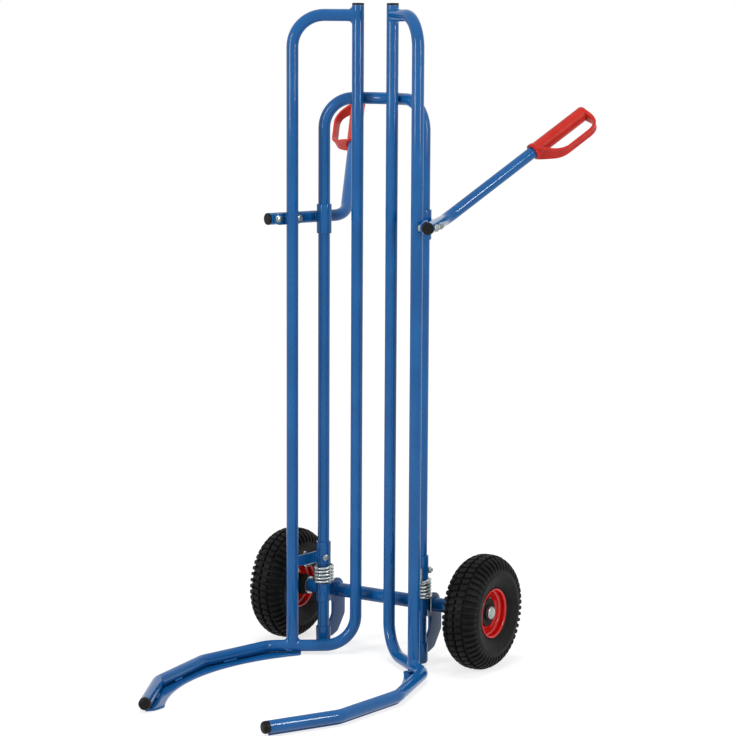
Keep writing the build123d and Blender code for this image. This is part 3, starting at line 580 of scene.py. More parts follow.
def spring_line():
    """Down leg, tangent to the coil, left-hand helix, tangent off the coil and up leg.

    The helix is (R cos a, R sin a) about the hinge, with a falling evenly between the two tangent points."""
    low, high = LOW_LEG - HINGE, HIGH_LEG - HINGE
    first = np.arctan2(low[1], low[0]) - np.arccos(COIL_R / np.linalg.norm(low))
    last = np.arctan2(high[1], high[0]) + np.arccos(COIL_R / np.linalg.norm(high)) - 2 * np.pi * COILS
    share = np.linspace(0, 1, COIL_STEPS)
    angle = first + (last - first) * share
    rise = COIL_LOW + (COIL_HIGH - COIL_LOW) * share
    coil = HINGE + np.stack([COIL_R * np.cos(angle), COIL_R * np.sin(angle), rise], -1)
    lower = [LOW_LEG + UP * LOW_END, LOW_LEG + UP * COIL_LOW, coil[0]]
    upper = [coil[-1], HIGH_LEG + UP * COIL_HIGH, HIGH_LEG + UP * HIGH_END]
    lower, upper = (rounded(leg, LEG_BEND, LEG_STEPS, closed=False) for leg in (lower, upper))
    line = np.concatenate([lower, coil, upper])
    keep = np.concatenate([[True], np.linalg.norm(np.diff(line, axis=0), axis=1) > TOO_CLOSE])
    return line[keep]


wire = spring_line()
toward_axis = unit((HINGE - wire) * (1, 1, 0))
coiled = [swept(wire, circle(WIRE_SIDES) * WIRE_D / 2, toward_axis)]
for side, sign in SIDES.items():
    spring = piece(f"{side}_wound_spring", mirrored(coiled, sign), zinc_spring_wire, None,
                   [f"{side}_spring"])
    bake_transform(spring)
print("spring wire:", round(float(travelled(wire)[-1])), "mm long")

# %% [markdown]
# ## Plugs
# Every open tube end is closed by a black plug: a thin disc on the arms and handles, and a longer rounded nose
# on the forks. They are turned about the tube's own direction.

# %% Plugs
FORK_TIP, FORK_BEND = np.array([157.0, -637.0, 20.0]), np.array([235.0, -490.0, 20.0])
ARM_TOP, HANDLE_Z, HANDLE_OFFSET = 1470.0, 997.5, 32.0
HANDLE_FRONT, HANDLE_BEND = (at_hinge(along, HANDLE_OFFSET, HANDLE_Z) for along in (129.0, -82.4))
DISC_PLUG = [(0.1, 0), (0.1, 13.3), (3.4, 13.45), (4.7, 12.4), (5.0, 0)]
NOSE_PLUG = [(0.1, 0), (0.1, 13.3), (8.4, 13.45), (12.6, 11.4), (14.0, 7.6), (14.0, 0)]
PLUG_SOFT, PLUG_TURNS = 1.2, 64
for name, outline, end, way in (
    ("top_cap", DISC_PLUG, INNER + UP * ARM_TOP, UP),
    ("handle_cap", DISC_PLUG, HANDLE_FRONT, ALONG),
    ("fork_cap", NOSE_PLUG, FORK_TIP, FORK_TIP - FORK_BEND),
):
    plug = turned(outline, PLUG_SOFT, end, way, PLUG_TURNS, ROD)
    pair(f"{name}_plug", plug, black_polyethylene, "{}_arm", name)
print("plugs: three on each arm")

# %% [markdown]
# ## Grips
# The red grips are one moulding each: a sleeve over the tube, and a strap that leaves the sleeve's lower
# collar, runs beside it to guard the knuckles, and turns in across its end. The sleeve is turned.
# The strap is a section with two raised edges, carried along a rounded line. Tables give its width, which is
# most at the root and least beside the hand, and its thickness.

# %% Grip sleeves
WAY = unit((0.403, 0.7438, 0.5334))
KNUCKLES = np.array([0.885, -0.19, -0.404])  # towards the guard, before it is made square to the tube
GUARD = unit(KNUCKLES - WAY * (KNUCKLES @ WAY))
BARE_TUBE, GRIP_L, GRIP_SOFT, GRIP_TURNS = 272.0, 165.0, 1.4, 72
GRIP_START = HANDLE_BEND + WAY * BARE_TUBE
SLEEVE = [
    (GRIP_L - 0.2, 0), (GRIP_L - 0.2, 15), (GRIP_L - 6, 17), (GRIP_L - 10, 16.7), (14, 16.7), (11, 17.4),
    (9, 19.1), (1, 19.3), (0, 18.4), (0, 13.6), (GRIP_L - 6, 13.6), (GRIP_L - 6, 0),
]
sleeve = turned(SLEEVE, GRIP_SOFT, GRIP_START, WAY, GRIP_TURNS, ROD)
pair("grip_sleeve", sleeve, red_polypropylene, "{}_arm", "grip")
print("grips: a sleeve of", GRIP_L, "mm on each handle")

# %% Grip guards
STRAP_END = GRIP_L - 4.8
STRAP_CORNERS = [(8.0, 4.6), (56.6, 40.6), (56.6, STRAP_END), (-17.0, STRAP_END)]  # (out, along)
STRAP_BENDS, STRAP_STEPS, STRAP_FINER, STRAP_SOFT = [0, 25, 37, 0], 14, 5, 1.6
STRAP_EDGE, STRAP_RISE, CLOSING_AFTER = 2.4, 1.0, 60
# Half widths and thicknesses: beside the hand by the distance along, and across the end by the distance out.
BESIDE_WIDTH = [4, 12, 30, 62], [17.5, 16.8, 13.2, 9.4]
ACROSS_WIDTH = [-17, -13, -4, 10, 30, 50], [6.0, 10.5, 13.8, 14.0, 11.2, 9.4]
BESIDE_THICK = [4, 26, 60], [9.0, 8.4, 6.8]
ACROSS_THICK = [-17, 20, 52], [8.6, 9.4, 6.8]


def strap():
    """A section of half width b and thickness t, carried along a line of (out, along) with rounded corners."""
    line = rounded(STRAP_CORNERS, STRAP_BENDS, STRAP_STEPS, closed=False)[STRAP_STEPS - 1 : 1 - STRAP_STEPS]
    fine = np.linspace(0, len(line) - 1, STRAP_FINER * (len(line) - 1) + 1)
    out, along = (np.interp(fine, np.arange(len(line)), column) for column in line.T)
    path = GRIP_START + out[:, None] * GUARD + along[:, None] * WAY
    gone = travelled(np.stack([out, along], -1))
    closing = gone > gone[np.argmax(out)] + CLOSING_AFTER
    b = np.where(closing, np.interp(out, *ACROSS_WIDTH), np.interp(along, *BESIDE_WIDTH))
    t = np.where(closing, np.interp(out, *ACROSS_THICK), np.interp(along, *BESIDE_THICK))
    inside, outside, floor = -t / 2, t / 2, t / 2 - STRAP_RISE
    edge, trough = b - STRAP_EDGE, b - 2 * STRAP_EDGE
    corners = [(inside, -b), (inside, b), (outside, b), (outside, edge), (floor, trough), (floor, -trough),
               (outside, -edge), (outside, -b)]
    section = np.stack([np.stack(corner, -1) for corner in corners], 1)
    return swept(path, rounded(section, STRAP_SOFT, 4), np.cross(GUARD, WAY))


guard = strap()
pair("grip_guard", [guard], red_polypropylene, "{}_arm")
print("grips: a strap of", len(guard[0]), "sections on each")

# %% [markdown]
# ## Bent tubes
# The truck is made of 26.9 mm steel tube, bent on a former, so every corner is a true arc. The solids of the
# tubes are right, but carry only as many facets as a simulation needs, and that shows in the gloss.
# So each tube is drawn again: a circle of 48 points carried along straight runs and arcs.

# %% Tube helpers
TUBE_R, TUBE_SIDES, BEND_STEPS = 13.45, 48, 20


def bent(corners, radii):
    """A line of straight runs whose inner corners are arcs.

    At a corner C, with unit vectors u back and v ahead at an angle of 2h, the arc's centre is
    O = C + R / sin h unit(u + v). The arc runs from A = C + u R / tan h to B = C + v R / tan h as
    O + (sin((1 - s) w) (A - O) + sin(s w) (B - O)) / sin w, where w is pi - 2h."""
    c = np.asarray(corners, float)
    back, ahead = unit(c[:-2] - c[1:-1]), unit(c[2:] - c[1:-1])
    half = np.arccos((back * ahead).sum(1, keepdims=True)) / 2
    radius = np.asarray(radii, float)[:, None]
    centre = c[1:-1] + unit(back + ahead) * radius / np.sin(half)
    first, last = (c[1:-1] + way * radius / np.tan(half) - centre for way in (back, ahead))
    w, s = (np.pi - 2 * half)[:, None], np.linspace(0, 1, BEND_STEPS)[:, None]
    arcs = centre[:, None] + (np.sin((1 - s) * w) * first[:, None] + np.sin(s * w) * last[:, None]) / np.sin(w)
    return np.concatenate([c[:1], arcs.reshape(-1, 3), c[-1:]])


def tube(corners, radii, toward):
    """A round tube along a bent line, with its ends closed."""
    return [swept(bent(corners, radii), circle(TUBE_SIDES) * TUBE_R, toward)]


print("a quarter bend has", len(bent([(0, 0, 0), (9, 0, 0), (9, 9, 0)], [4])), "points")

# %% Bent tubes
CROSS = unit(OUTER - INNER)
SIDEWAYS = np.cross(UP, CROSS)
SLANTED = (0.75, 0, 0.66)  # no run of these tubes lies this way
FORK_Z, TOP_BAR_Z, HANDLE_L = 20.0, 1448.0, 428.0
FORK_ROOT = OUTER + CROSS * 55.5 + UP * FORK_Z
FORK_KNEE = np.array([257.0, -299.0, FORK_Z])
HOOP_FOOT, HOOP_TOP, HOOP_BENDS = 16.0, 1265.5, [68, 110, 68]
HOOP_BACK = HINGE[0] * np.tan(np.radians(22.0))
hoop_half = [HINGE + UP * HOOP_FOOT, HINGE + UP * HOOP_TOP]
hoop_line = np.array([*hoop_half, (0, HOOP_BACK, HOOP_TOP), *(np.array(hoop_half[::-1]) * (-1, 1, 1))])
hoop = tube(hoop_line, HOOP_BENDS, (0, 1, 0))
piece("hoop_bent_tube", hoop, blue_powder_coat, "frame", ["rear_hoop"])
cradle_line = [INNER + UP * ARM_TOP, INNER + UP * FORK_Z, FORK_ROOT, FORK_KNEE, FORK_BEND, FORK_TIP]
outer_line = [OUTER + UP * (FORK_Z + 1), OUTER + UP * TOP_BAR_Z, INNER + CROSS + UP * TOP_BAR_Z]
arm_tubes = {
    "cradle_tube": tube(cradle_line, [70, 60, 60, 60], SLANTED),
    "outer_upright": tube(outer_line, [70], SIDEWAYS),
    "handle_tube": tube([HANDLE_FRONT, HANDLE_BEND, HANDLE_BEND + WAY * HANDLE_L], [60], SLANTED),
}
for name, grids in arm_tubes.items():
    pair(f"{name}_bent", grids, blue_powder_coat, "{}_arm", name)
print("tubes:", 1 + 2 * len(arm_tubes))

# %% [markdown]
# ## Sleeves, collars, feet and axle tube
# Short lengths of 33.7 mm pipe: two hinge sleeves on each arm, a collar under each spring and a closed foot on
# each upright. Saw cuts are never knife sharp under paint, so every rim has a small round.

# %% Sleeves
SLEEVE_R, SLEEVE_BORE_R, SAW_SOFT, PIPE_TURNS = 16.85, 13.6, 0.9, 64
AXLE_TUBE_HALF, AXLE_TUBE_R, AXLE_TUBE_BORE_R = 204.0, 16.0, 10.1
FOOT_BENDS, FOOT_STEPS = [0, 8, 0.9, 0.6, 0.5, 0], 8
FOOT = [(5.2, 0), (5.2, SLEEVE_R), (53, SLEEVE_R), (53, SLEEVE_BORE_R), (10.5, SLEEVE_BORE_R), (10.5, 0)]


def pipe(low, high, outer=SLEEVE_R, bore=SLEEVE_BORE_R):
    """The outline of a pipe's wall, along and out."""
    return [(low, bore), (low, outer), (high, outer), (high, bore)]


axle_outline = pipe(-AXLE_TUBE_HALF, AXLE_TUBE_HALF, AXLE_TUBE_R, AXLE_TUBE_BORE_R)
axle_tube = turned(axle_outline, SAW_SOFT, AXLE, CROSSWISE, PIPE_TURNS)
piece("axle_tube_painted", axle_tube, blue_powder_coat, "frame", ["axle_tube"])
for name, ends, body in (
    ("upper_sleeve", (962.0, 1028.0), "{}_arm"),
    ("lower_sleeve", (202.0, 253.0), "{}_arm"),
    ("spring_collar", (116.0, 156.0), "frame"),
):
    length = turned(pipe(*ends), SAW_SOFT, HINGE, UP, PIPE_TURNS)
    pair(f"{name}_pipe", length, blue_powder_coat, body, name)
foot = turned(FOOT, FOOT_BENDS, HINGE, UP, PIPE_TURNS, ROD, FOOT_STEPS)
pair("foot_cap_pipe", foot, blue_powder_coat, "frame", "foot_cap")
print("sleeves: two on each arm, collar and foot on each upright")

# %% [markdown]
# ## Flat plates
# The lips under the forks, the axle hangers, the spring brackets and the handle plates are cut from flat steel.
# A long plate is a band: the straight lines between two edge curves, with a rounded rectangle as its section.

# %% Plate helpers
PLATE_SOFT, EDGE_STEPS = 0.9, 160


def band(inner, outer, low, high, normal):
    """P = inner + x e + h n: (x, h) is a rounded rectangle as wide as the gap, and e points across the gap."""
    gap = outer - inner
    wide = np.linalg.norm(gap, axis=1)
    zero = np.zeros_like(wide)
    corners = [(zero, zero + low), (wide, zero + low), (wide, zero + high), (zero, zero + high)]
    section = rounded(np.stack([np.stack(corner, -1) for corner in corners], 1), PLATE_SOFT, 4)
    e = (gap / wide[:, None])[:, None]
    return capped(inner[:, None] + section[..., :1] * e + section[..., 1:] * np.asarray(normal, float))


def spaced(points):
    """Points at even steps along a line of straight runs."""
    points = np.asarray(points, float)
    gone = travelled(points)
    places = np.linspace(0, gone[-1], EDGE_STEPS)
    return np.stack([np.interp(places, gone, column) for column in points.T], -1)


print("plates: edges in", EDGE_STEPS, "steps")

# %% Fork lips
LIP_LOW, LIP_HIGH, LIP_ARC_STEPS, LIP_BENDS = 1.5, 6.5, 90, [60, 60, 60]
LIP_END, LIP_HEEL, LIP_MIDDLE = (145.0, -70.8), (137, -83), (221, -337)
LIP_TOE, LIP_TIP = (140, -592), (144, -621)
HEEL_ROUND, TOE_ROUND, LIP_BEHIND, PLAN = 9.0, 14.0, 20, (1, 1, 0)


def arc_through(a, b, c):
    """The arc through three places, at even angles. Its centre is where the chords' middle lines meet."""
    a, b, c = (np.asarray(p, float) for p in (a, b, c))
    centre = np.linalg.solve(2 * np.array([b - a, c - a]), np.array([b @ b - a @ a, c @ c - a @ a]))
    start, end = (np.arctan2(*(p - centre)[::-1]) for p in (a, c))
    angle = np.linspace(start, end, LIP_ARC_STEPS)
    return centre + np.linalg.norm(a - centre) * np.stack([np.cos(angle), np.sin(angle)], -1)


def one_corner(before, at, after, reach, steps=10):
    """The rounding of a single corner between two places."""
    return rounded([before, at, after], reach, steps, closed=False)[steps:-steps]


lip_arc = arc_through(LIP_HEEL, LIP_MIDDLE, LIP_TOE)[5:-2]  # cut back at both ends, for the round corners
lip_edge = np.concatenate([
    [LIP_END], one_corner(LIP_END, LIP_HEEL, lip_arc[0], HEEL_ROUND), lip_arc[:-1],
    one_corner(lip_arc[-1], LIP_TOE, LIP_TIP, TOE_ROUND), [LIP_TIP],
])
under_fork = np.array([FORK_ROOT, FORK_KNEE, FORK_BEND, FORK_TIP]) * PLAN
lip_back = bent([OUTER - CROSS * LIP_BEHIND, *under_fork], LIP_BENDS)
fork_lip = band(np.insert(spaced(lip_edge), 2, 0.0, axis=1), spaced(lip_back), LIP_LOW, LIP_HIGH, UP)
print("lips:", round(float(travelled(lip_edge)[-1])), "mm along the inner edge")

# %% Axle hangers
HANGER_HALF_T, EYE_R, BEHIND_TUBE = 3.0, 27, 17.1
eye = np.radians(np.linspace(105, 0, 16))
hanger_out = [
    (BEHIND_TUBE, 150.0), *np.stack([AXLE[1] + EYE_R * np.cos(eye), AXLE[2] + EYE_R * np.sin(eye)], -1),
    *rounded([(81.5, 130), (87, 112), (87, 68), (57, 31), (34, 24), (BEHIND_TUBE, 24)], [0, 6, 5, 5, 4, 0], 8,
             closed=False),
]
hanger_in = rounded([(BEHIND_TUBE, 118), (37, 104), (37, 76), (29, 64), (BEHIND_TUBE, 56)], [0, 5, 5, 4, 0], 8,
                    closed=False)
hanger_edges = [np.insert(spaced(edge), 0, HINGE[0], axis=1) for edge in (hanger_in, hanger_out)]
hanger = band(*hanger_edges, -HANGER_HALF_T, HANGER_HALF_T, CROSSWISE)
print("hangers: an eye of", EYE_R, "mm radius round the axle")

# %% Brackets, lugs and handle plates
BRACKET_FOOT, BRACKET_TOP, BRACKET_HALF_T = (208.5, 203.1), (233.9, 226.5), 3.0  # heights at hinge and upright
BRACKET_ENDS, BRACKET_STEPS = (15.6, REACH - 12.2), 12
LUG_HALF_L, LUG_H, LUG_SEAT, LUG_FACES = 10, 18.0, 14.9, (-2.6, 4.2)
PLATE_L, PLATE_H, PLATE_INSET = 75.0, 26.0, 0.06
PLATE_SCALES = np.array([0.0, 1.0 - PLATE_INSET, 1.0, 1.0, 1.0 - PLATE_INSET, 0.0])
PLATE_LEVELS = np.array([13.5, 13.5, 14.3, 17.7, 18.5, 18.5])


def stadium(length, height, steps=24):
    """The outline of a plate with round ends, (along, up)."""
    t = np.linspace(-np.pi / 2, np.pi / 2, steps)
    end = np.stack([np.cos(t), np.sin(t)], -1) * height / 2 + ((length - height) / 2, 0)
    return np.concatenate([end, -end])


span = np.linspace(*BRACKET_ENDS, BRACKET_STEPS)
bracket_edges = [at_hinge(span[:, None], 0, np.interp(span, (0, REACH), edge)[:, None])
                 for edge in (BRACKET_FOOT, BRACKET_TOP)]
bracket = band(*bracket_edges, -BRACKET_HALF_T, BRACKET_HALF_T, OUTWARD)
lug_foot = at_hinge(np.linspace(-LUG_HALF_L, LUG_HALF_L, 8)[:, None], LUG_SEAT, HANDLE_Z - LUG_H / 2)
lug_pad = band(lug_foot, lug_foot + UP * LUG_H, *LUG_FACES, OUTWARD)
along_plate, up_plate = stadium(PLATE_L, PLATE_H).T[..., None]
plate_line = along_plate * ALONG + up_plate * UP
handle_plate = (at_hinge(REACH, 0, HANDLE_Z) + PLATE_SCALES[:, None, None] * plate_line
                + PLATE_LEVELS[:, None, None] * OUTWARD)
for name, grid, body in (
    ("fork_plate", fork_lip, "{}_arm"), ("lower_bracket", bracket, "{}_arm"), ("sleeve_lug", lug_pad, "{}_arm"),
    ("handle_plate", handle_plate, "{}_arm"), ("hanger_plate", hanger, "frame"),
):
    pair(f"{name}_cut", [(grid, ROD)], blue_powder_coat, body, name)
print("plates: five on each side")

# %% [markdown]
# ## Bolts
# M8 bolts with their nuts: one through each lower sleeve, which stops the swing, and two that hold each handle
# to its plate, with flanges under head and nut. The thread that stands out of a nut is a true screw.

# %% Bolts
HEX_WIDTH, HEAD_H, NUT_H, BOLT_D, BOLT_TAIL, BOLT_TURNS = 13.0, 5.3, 6.5, 8.0, 3.0, 24
THREAD_PITCH, THREAD_TURNS, THREAD_STEPS, THREAD_DEPTH, RUN_OUT = 1.25, 32, 6, 0.6, 0.4
FLANGE, FLANGE_TURNS = [(0, 0), (0, 8.4), (0.9, 8.4), (1.7, 6.6), (1.7, 0)], 32
STOP_Z, STOP_SEAT, STOP_TURN = 219.0, 16.9, np.radians(42.0)
STOP_WAY = np.array([np.cos(STOP_TURN), np.sin(STOP_TURN), 0.0])
HANDLE_BOLTS, HANDLE_SEAT, HANDLE_CLAMPED = (-27.0, 27.0), 13.45, 32.05


def thread(start, way, length, diameter):
    """A screw thread: radius d/2 less a triangle wave in (distance / pitch - angle / full turn).

    The wave is THREAD_DEPTH pitches high, and fades to RUN_OUT of that over the last turn."""
    way = unit(way)
    t = full_turn(THREAD_TURNS)
    z = np.linspace(0, length, int(length / THREAD_PITCH * THREAD_STEPS) + 2)[:, None]
    phase = (z / THREAD_PITCH - t / (2 * np.pi)) % 1.0
    fade = np.clip((length - z) / THREAD_PITCH + RUN_OUT, RUN_OUT, 1.0)
    r = diameter / 2 - THREAD_DEPTH * THREAD_PITCH * np.abs(phase - 0.5) * fade
    grid = np.asarray(start, float) + z[..., None] * way + r[..., None] * spokes(way, THREAD_TURNS, HEX_ASIDE)
    return capped(grid)


def bolt(seat, way, clamped, flanged=False):
    """Head, shank, nut, the end of the thread that stands out of it, and the flanges under head and nut."""
    nut = seat + way * clamped
    shank = [(0, 0), (0, BOLT_D / 2), (clamped + NUT_H, BOLT_D / 2), (clamped + NUT_H, 0)]
    grids = [
        hexagon(seat, -way, HEX_WIDTH, HEAD_H), lathe(shank, seat, way, BOLT_TURNS),
        hexagon(nut, way, HEX_WIDTH, NUT_H), thread(nut + way * NUT_H, way, BOLT_TAIL, BOLT_D),
    ]
    if flanged:
        grids += [lathe(FLANGE, seat, -way, FLANGE_TURNS), lathe(FLANGE, nut, way, FLANGE_TURNS)]
    return [(grid, ROD) for grid in grids]


stop_bolt = bolt(HINGE + UP * STOP_Z - STOP_WAY * STOP_SEAT, STOP_WAY, 2 * STOP_SEAT)
handle_bolts = []
for along in HANDLE_BOLTS:
    handle_bolts += bolt(at_hinge(REACH + along, HANDLE_SEAT, HANDLE_Z), OUTWARD, HANDLE_CLAMPED, flanged=True)
pair("stop_bolt_zinc", stop_bolt, bright_zinc, "{}_arm", "stop_bolt")
pair("handle_bolts_zinc", handle_bolts, bright_zinc, "{}_arm", "handle_bolts")
print("bolts: three on each arm")

# %% [markdown]
# ## Welds
# Every joint of tube and plate is a painted weld bead, and its ripples catch the light at the seam. A bead is a
# round section carried along the seam. Its radius swells once for every drop of metal, and fades at open ends.
# Where a tube stands on another of its size, the weld fills the corner as a hollow skirt round the branch.

# %% Weld shapes
RIPPLE, RIPPLE_SHARE, BEAD_STEP, BEAD_SIDES = 3.4, 0.12, 0.7, 10
FADE_SIZES, FADE_LEAST = 1.6, 0.03
COVE_LEG, COVE_TURNS, COVE_STEPS, COVE_SUNK, COVE_PROUD, COVE_ROOT = 7.5, 160, 7, 0.3, 1.2, 2
COVE_SIDE, COVE_RIPPLES, COVE_RIPPLE_SHARE = 0.3, 24, 0.07


def bead(path, size, toward, shape=ROD):
    """Radius size (1 + share cos(2 pi s / ripple)) at a distance s along the seam, rounded off at open ends."""
    s = travelled(path)
    radius = size * (1 + RIPPLE_SHARE * np.cos(2 * np.pi * s / RIPPLE))
    if shape == ROD:
        radius *= np.sqrt(np.clip(np.minimum(s, s[-1] - s) / (FADE_SIZES * size), FADE_LEAST, 1))
    return swept(path, circle(BEAD_SIDES) * radius[:, None, None], toward, shape)


def seam(start, end, size, toward):
    """A straight bead."""
    steps = int(np.linalg.norm(end - start) / BEAD_STEP)
    return bead(np.linspace(start, end, steps), size, toward)


def ring_seam(centre, axis, radius, size):
    """A bead round a pipe."""
    steps = int(2 * np.pi * radius / BEAD_STEP)
    return bead(lathe([(0, radius)], centre, axis, steps)[0], size, axis, RING)


def cove(centre, branch, run):
    """The hollow weld where a tube stands on another of its size, round the branch at an angle t.

    Its section is the parabola from a foot on the branch, by the corner
    r cos t run + r sin t side + r |cos t| branch, to a toe on the run.
    Foot and toe are a leg away from the corner in the tubes' plane, and closer at the sides."""
    t = full_turn(COVE_TURNS)[:, None]
    side = np.cross(branch, run)
    ripple = 1 + COVE_RIPPLE_SHARE * np.cos(COVE_RIPPLES * t)
    size = COVE_LEG * (COVE_SIDE + (1 - COVE_SIDE) * np.cos(t) ** 2) * ripple
    sunk, proud = TUBE_R - COVE_SUNK, TUBE_R + COVE_PROUD
    spoke = np.cos(t) * run + np.sin(t) * side
    foot = sunk * spoke + (TUBE_R * np.abs(np.cos(t)) + size) * branch
    corner = proud * spoke + proud * np.abs(np.cos(t)) * branch
    lean = np.arcsin(np.sin(t)) + np.sin(t) * size / TUBE_R
    toe = (sunk + size) * np.cos(t) * run + sunk * (np.sin(lean) * side + np.cos(lean) * branch)
    root = (TUBE_R - COVE_ROOT) * (spoke + np.abs(np.cos(t)) * branch)
    s = np.linspace(0, 1, COVE_STEPS)[:, None, None]
    skin = (1 - s) ** 2 * foot + 2 * s * (1 - s) * corner + s**2 * toe
    return centre + np.concatenate([skin, root[None]]), RING


print("welds: a ripple every", RIPPLE, "mm")

# %% Welds
STITCH_SIZE, STITCH_OFFSET, STITCH_Z = 3.3, 11.3, 9.4
THIN_BEAD, PLATE_BEAD, HANGER_BEAD, COLLAR_BEAD = 2.2, 3.0, 2.1, 1.4
BRACKET_FACES, PLATE_SIDES, LUG_SIDES = (-3.7, 3.7), (-8.0, 8.0), (-10.6, 10.6)
BY_SLEEVE, BY_UPRIGHT, UNDER_PLATE, UNDER_LUG = 16.9, REACH - 13.4, 12.4, 16.0
COLLAR_SEAMS, COLLAR_SEAM_R, EYE_SEAM_R = (53.4, 115.6), 14.6, 16.8
HANGER_FACES, HANGER_SEAM_Y, HANGER_SEAMS = (-3.6, 3.6), 17.2, ((120, 148), (27, 51))


def upright_seams(places, low, high, size):
    """Straight beads from one height to another, at places (along, outward) from the hinge."""
    return [seam(at_hinge(*place, low), at_hinge(*place, high), size, OUTWARD) for place in places]


def stitch(start, end, low, high):
    """A short bead in the wedge between a run of the fork and its lip, on the truck's inner side."""
    way = unit(end - start)
    inner_side = np.cross(way, UP)
    first, last = (start * PLAN + way * s + inner_side * STITCH_OFFSET + UP * STITCH_Z for s in (low, high))
    return seam(first, last, STITCH_SIZE, UP)


arm_beads = [
    cove(OUTER + UP * FORK_Z, UP, CROSS),
    cove(INNER + UP * TOP_BAR_Z, CROSS, UP),
    *upright_seams([(BY_SLEEVE, out) for out in BRACKET_FACES], 209.0, 232.0, THIN_BEAD),
    *upright_seams([(BY_UPRIGHT, out) for out in BRACKET_FACES], 205.0, 226.0, THIN_BEAD),
    *upright_seams(
        [(REACH + along, UNDER_PLATE) for along in PLATE_SIDES], HANDLE_Z - 12, HANDLE_Z + 12, PLATE_BEAD),
    *upright_seams([(along, UNDER_LUG) for along in LUG_SIDES], HANDLE_Z - 8, HANDLE_Z + 8, THIN_BEAD),
    stitch(FORK_ROOT, FORK_KNEE, 100, 142),
    stitch(FORK_KNEE, FORK_BEND, 108, 142),
    stitch(FORK_BEND, FORK_TIP, 60, 92),
    stitch(OUTER, FORK_ROOT, -2, 34),
]
hanger_beads = [
    *[ring_seam(HINGE + UP * z, UP, COLLAR_SEAM_R, COLLAR_BEAD) for z in COLLAR_SEAMS],
    *[seam(HINGE + (out, HANGER_SEAM_Y, low), HINGE + (out, HANGER_SEAM_Y, high), HANGER_BEAD, CROSSWISE)
      for out in HANGER_FACES for low, high in HANGER_SEAMS],
    *[ring_seam(AXLE + CROSSWISE * (HINGE[0] + out), CROSSWISE, EYE_SEAM_R, HANGER_BEAD)
      for out in HANGER_FACES],
]
frame_beads = [bead_grid for sign in SIDES.values() for bead_grid in mirrored(hanger_beads, sign)]
piece("frame_weld_beads", frame_beads, blue_powder_coat, "frame")
pair("arm_weld_beads", arm_beads, blue_powder_coat, "{}_arm")
print("welds:", len(arm_beads), "beads on each arm and", len(frame_beads), "on the frame")

# %% [markdown]
# ## What is left of the solids
# Only the axle shaft still shows as it came, in the gaps beside the hubs. It takes the zinc finish.

# %% Solids that stay
nodes["axle_shaft"].data.materials.clear()
nodes["axle_shaft"].data.materials.append(bright_zinc)
print("solids with a finish:", "axle_shaft")

# %% [markdown]
# ## Floor and sky
# A white floor under a white sky. Rays from the camera and in reflections see plain white, and the floor keeps
# a faint shadow. A lit floor alone would grey with distance, so this one is part lit surface and part light of
# its own, and its own light grows as the lamps' light falls off.

# %% Floor
WHITE, FLOOR_HALF = (1, 1, 1, 1), 40
LEVEL_NEAR, LEVEL_FAR, NEAR_M, FAR_M = 0.735, 0.885, 0.8, 5.5


def seen_by_eye(tree):
    """A factor that is 1 for rays from the camera, in reflections or through glass, and 0 for bounced light."""
    rays = add(tree, "LightPath").outputs
    eye = add(tree, "Math", {0: rays["Is Camera Ray"], 1: rays["Is Glossy Ray"]}, operation="MAXIMUM")
    seen = add(tree, "Math", {0: eye.outputs[0], 1: rays["Is Transmission Ray"]}, operation="MAXIMUM")
    return seen.outputs[0]


def studio_material(name):
    """A white floor: for the eye, its own white light and a thin lit layer that add up to white.

    For bounced light it is a pale lit surface."""
    material = bpy.data.materials.new(name)
    tree = empty_tree(material)
    lit = add(tree, "BsdfDiffuse", {"Color": linear("#f4f4f4")})
    thin = add(tree, "BsdfDiffuse", {"Color": linear("#aaaaaa")})
    away = add(tree, "VectorMath", {0: add(tree, "TexCoord").outputs["Object"]}, operation="LENGTH")
    growth = {"From Min": NEAR_M, "From Max": FAR_M, "To Min": LEVEL_NEAR, "To Max": LEVEL_FAR}
    level = add(tree, "MapRange", {"Value": away.outputs["Value"], **growth}, interpolation_type="SMOOTHSTEP")
    white = add(tree, "Emission", {"Color": WHITE, "Strength": level.outputs["Result"]})
    share = add(tree, "AddShader", {0: thin.outputs[0], 1: white.outputs[0]})
    pick = add(tree, "MixShader", {"Fac": seen_by_eye(tree), 1: lit.outputs[0], 2: share.outputs[0]})
    add(tree, "OutputMaterial", {"Surface": pick.outputs[0]})
    return material


floor_corners = FLOOR_HALF * np.array([(-1, -1, 0), (1, -1, 0), (1, 1, 0), (-1, 1, 0)])
floor_mesh = bpy.data.meshes.new("studio_floor")
floor_mesh.from_pydata(floor_corners.tolist(), [], [(0, 1, 2, 3)])
floor_mesh.materials.append(studio_material("white_studio_floor"))
floor = bpy.data.objects.new("studio_floor", floor_mesh)
bpy.context.scene.collection.objects.link(floor)
floor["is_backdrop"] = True
print("floor:", tuple(floor.dimensions))

# %% Sky
SKY_GLOW = 0.30
world = bpy.data.worlds.new("white_sky")
sky = empty_tree(world)
glow, plain = (add(sky, "Background", {"Color": WHITE, "Strength": strength}) for strength in (SKY_GLOW, 1.0))
choice = add(sky, "MixShader", {"Fac": seen_by_eye(sky), 1: glow.outputs[0], 2: plain.outputs[0]})
add(sky, "OutputWorld", {"Surface": choice.outputs[0]})
bpy.context.scene.world = world
bpy.context.scene.view_settings.view_transform = "Standard"
print("sky: lights the truck with", SKY_GLOW, "of what the eye sees")

# %% [markdown]
# ## Lamps
# A softbox at the front left shapes the tubes, and a narrow strip on the right draws the thin streak along
# them. A large softbox high above gives the soft shadow on the floor. It is hidden from reflections, because it
# would draw a broad white band along the top of every bar.


# %% Lamps
def around(azimuth, distance, height):
    """A place round the truck, with azimuth 0 in front and growing towards its right-hand side."""
    a = np.radians(azimuth)
    return Vector((distance * np.sin(a), -distance * np.cos(a), height))


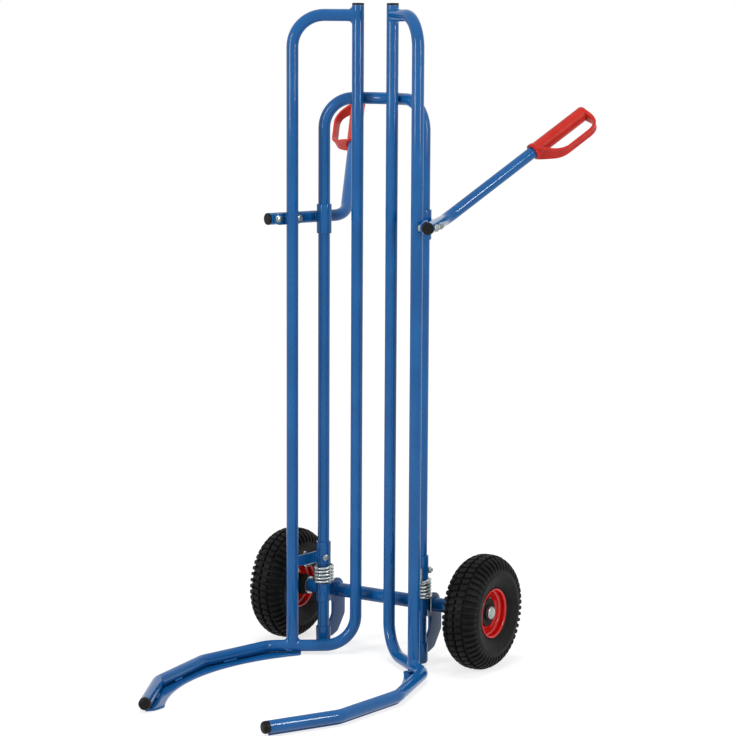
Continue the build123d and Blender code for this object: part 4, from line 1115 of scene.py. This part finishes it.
def soft_lamp(name, place, target, size, watts):
    """A rectangular lamp that faces its target."""
    light = bpy.data.lights.new(name, "AREA")
    light.shape = "RECTANGLE"
    light.size, light.size_y = size
    light.energy = watts
    lamp = bpy.data.objects.new(name, light)
    bpy.context.scene.collection.objects.link(lamp)
    aim = (Vector(target) - place).to_track_quat("-Z", "Y")
    lamp.matrix_world = Matrix.LocRotScale(place, aim, None)
    return lamp


soft_lamp("left_softbox", around(-19, 4.2, 1.85), target=(0, 0.1, 0.9), size=(1.1, 1.65), watts=84.0)
soft_lamp("right_strip", around(84, 2.6, 1.74), target=(0, 0.1, 1.0), size=(0.18, 1.32), watts=30.0)
top_softbox = soft_lamp(
    "top_softbox", around(20, 0.6, 7.0), target=(0, -0.1, 0.0), size=(2.8, 2.8), watts=215.0)
top_softbox.visible_glossy = False
print("lamps:", len(bpy.data.lights))

# %% [markdown]
# ## Camera
# A long lens, about five and a half metres off, low and from the truck's right front. Two angles and a slight
# roll give its axes.

# %% Camera
AZIMUTH, ELEVATION, ROLL = np.radians([32.35, 8.57, 0.284])
DISTANCE, LOOK_AT = 5.501, Vector((0, HINGE_Y * MM, 0.650))
ahead = Vector((-np.sin(AZIMUTH) * np.cos(ELEVATION), np.cos(AZIMUTH) * np.cos(ELEVATION), -np.sin(ELEVATION)))
level = Vector((np.cos(AZIMUTH), np.sin(AZIMUTH), 0))
upward = level.cross(ahead)
right, top = np.cos(ROLL) * level + np.sin(ROLL) * upward, np.cos(ROLL) * upward - np.sin(ROLL) * level
lens = bpy.data.cameras.new("studio_camera")
lens.lens, lens.sensor_width = 120.0, 36.0
lens.shift_x, lens.shift_y = -0.0062, 0.0094
lens.clip_end = 200.0
camera = bpy.data.objects.new("studio_camera", lens)
bpy.context.scene.collection.objects.link(camera)
axes = Matrix((right, top, -ahead)).transposed().to_4x4()
camera.matrix_world = Matrix.Translation(LOOK_AT - ahead * DISTANCE) @ axes
bpy.context.scene.camera = camera
print("camera at", [round(v, 3) for v in camera.matrix_world.translation])

# %% [markdown]
# ## Sizes and finish
# The boxes of the solid model and of the dressed truck are printed side by side. The dressed truck has
# to keep the size of the solid model.

# %% Finish
low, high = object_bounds()
for name, corners in (("cad box", (*cad_low, *cad_high)), ("visual box", (*low, *high))):
    print(name, [round(v, 4) for v in corners])
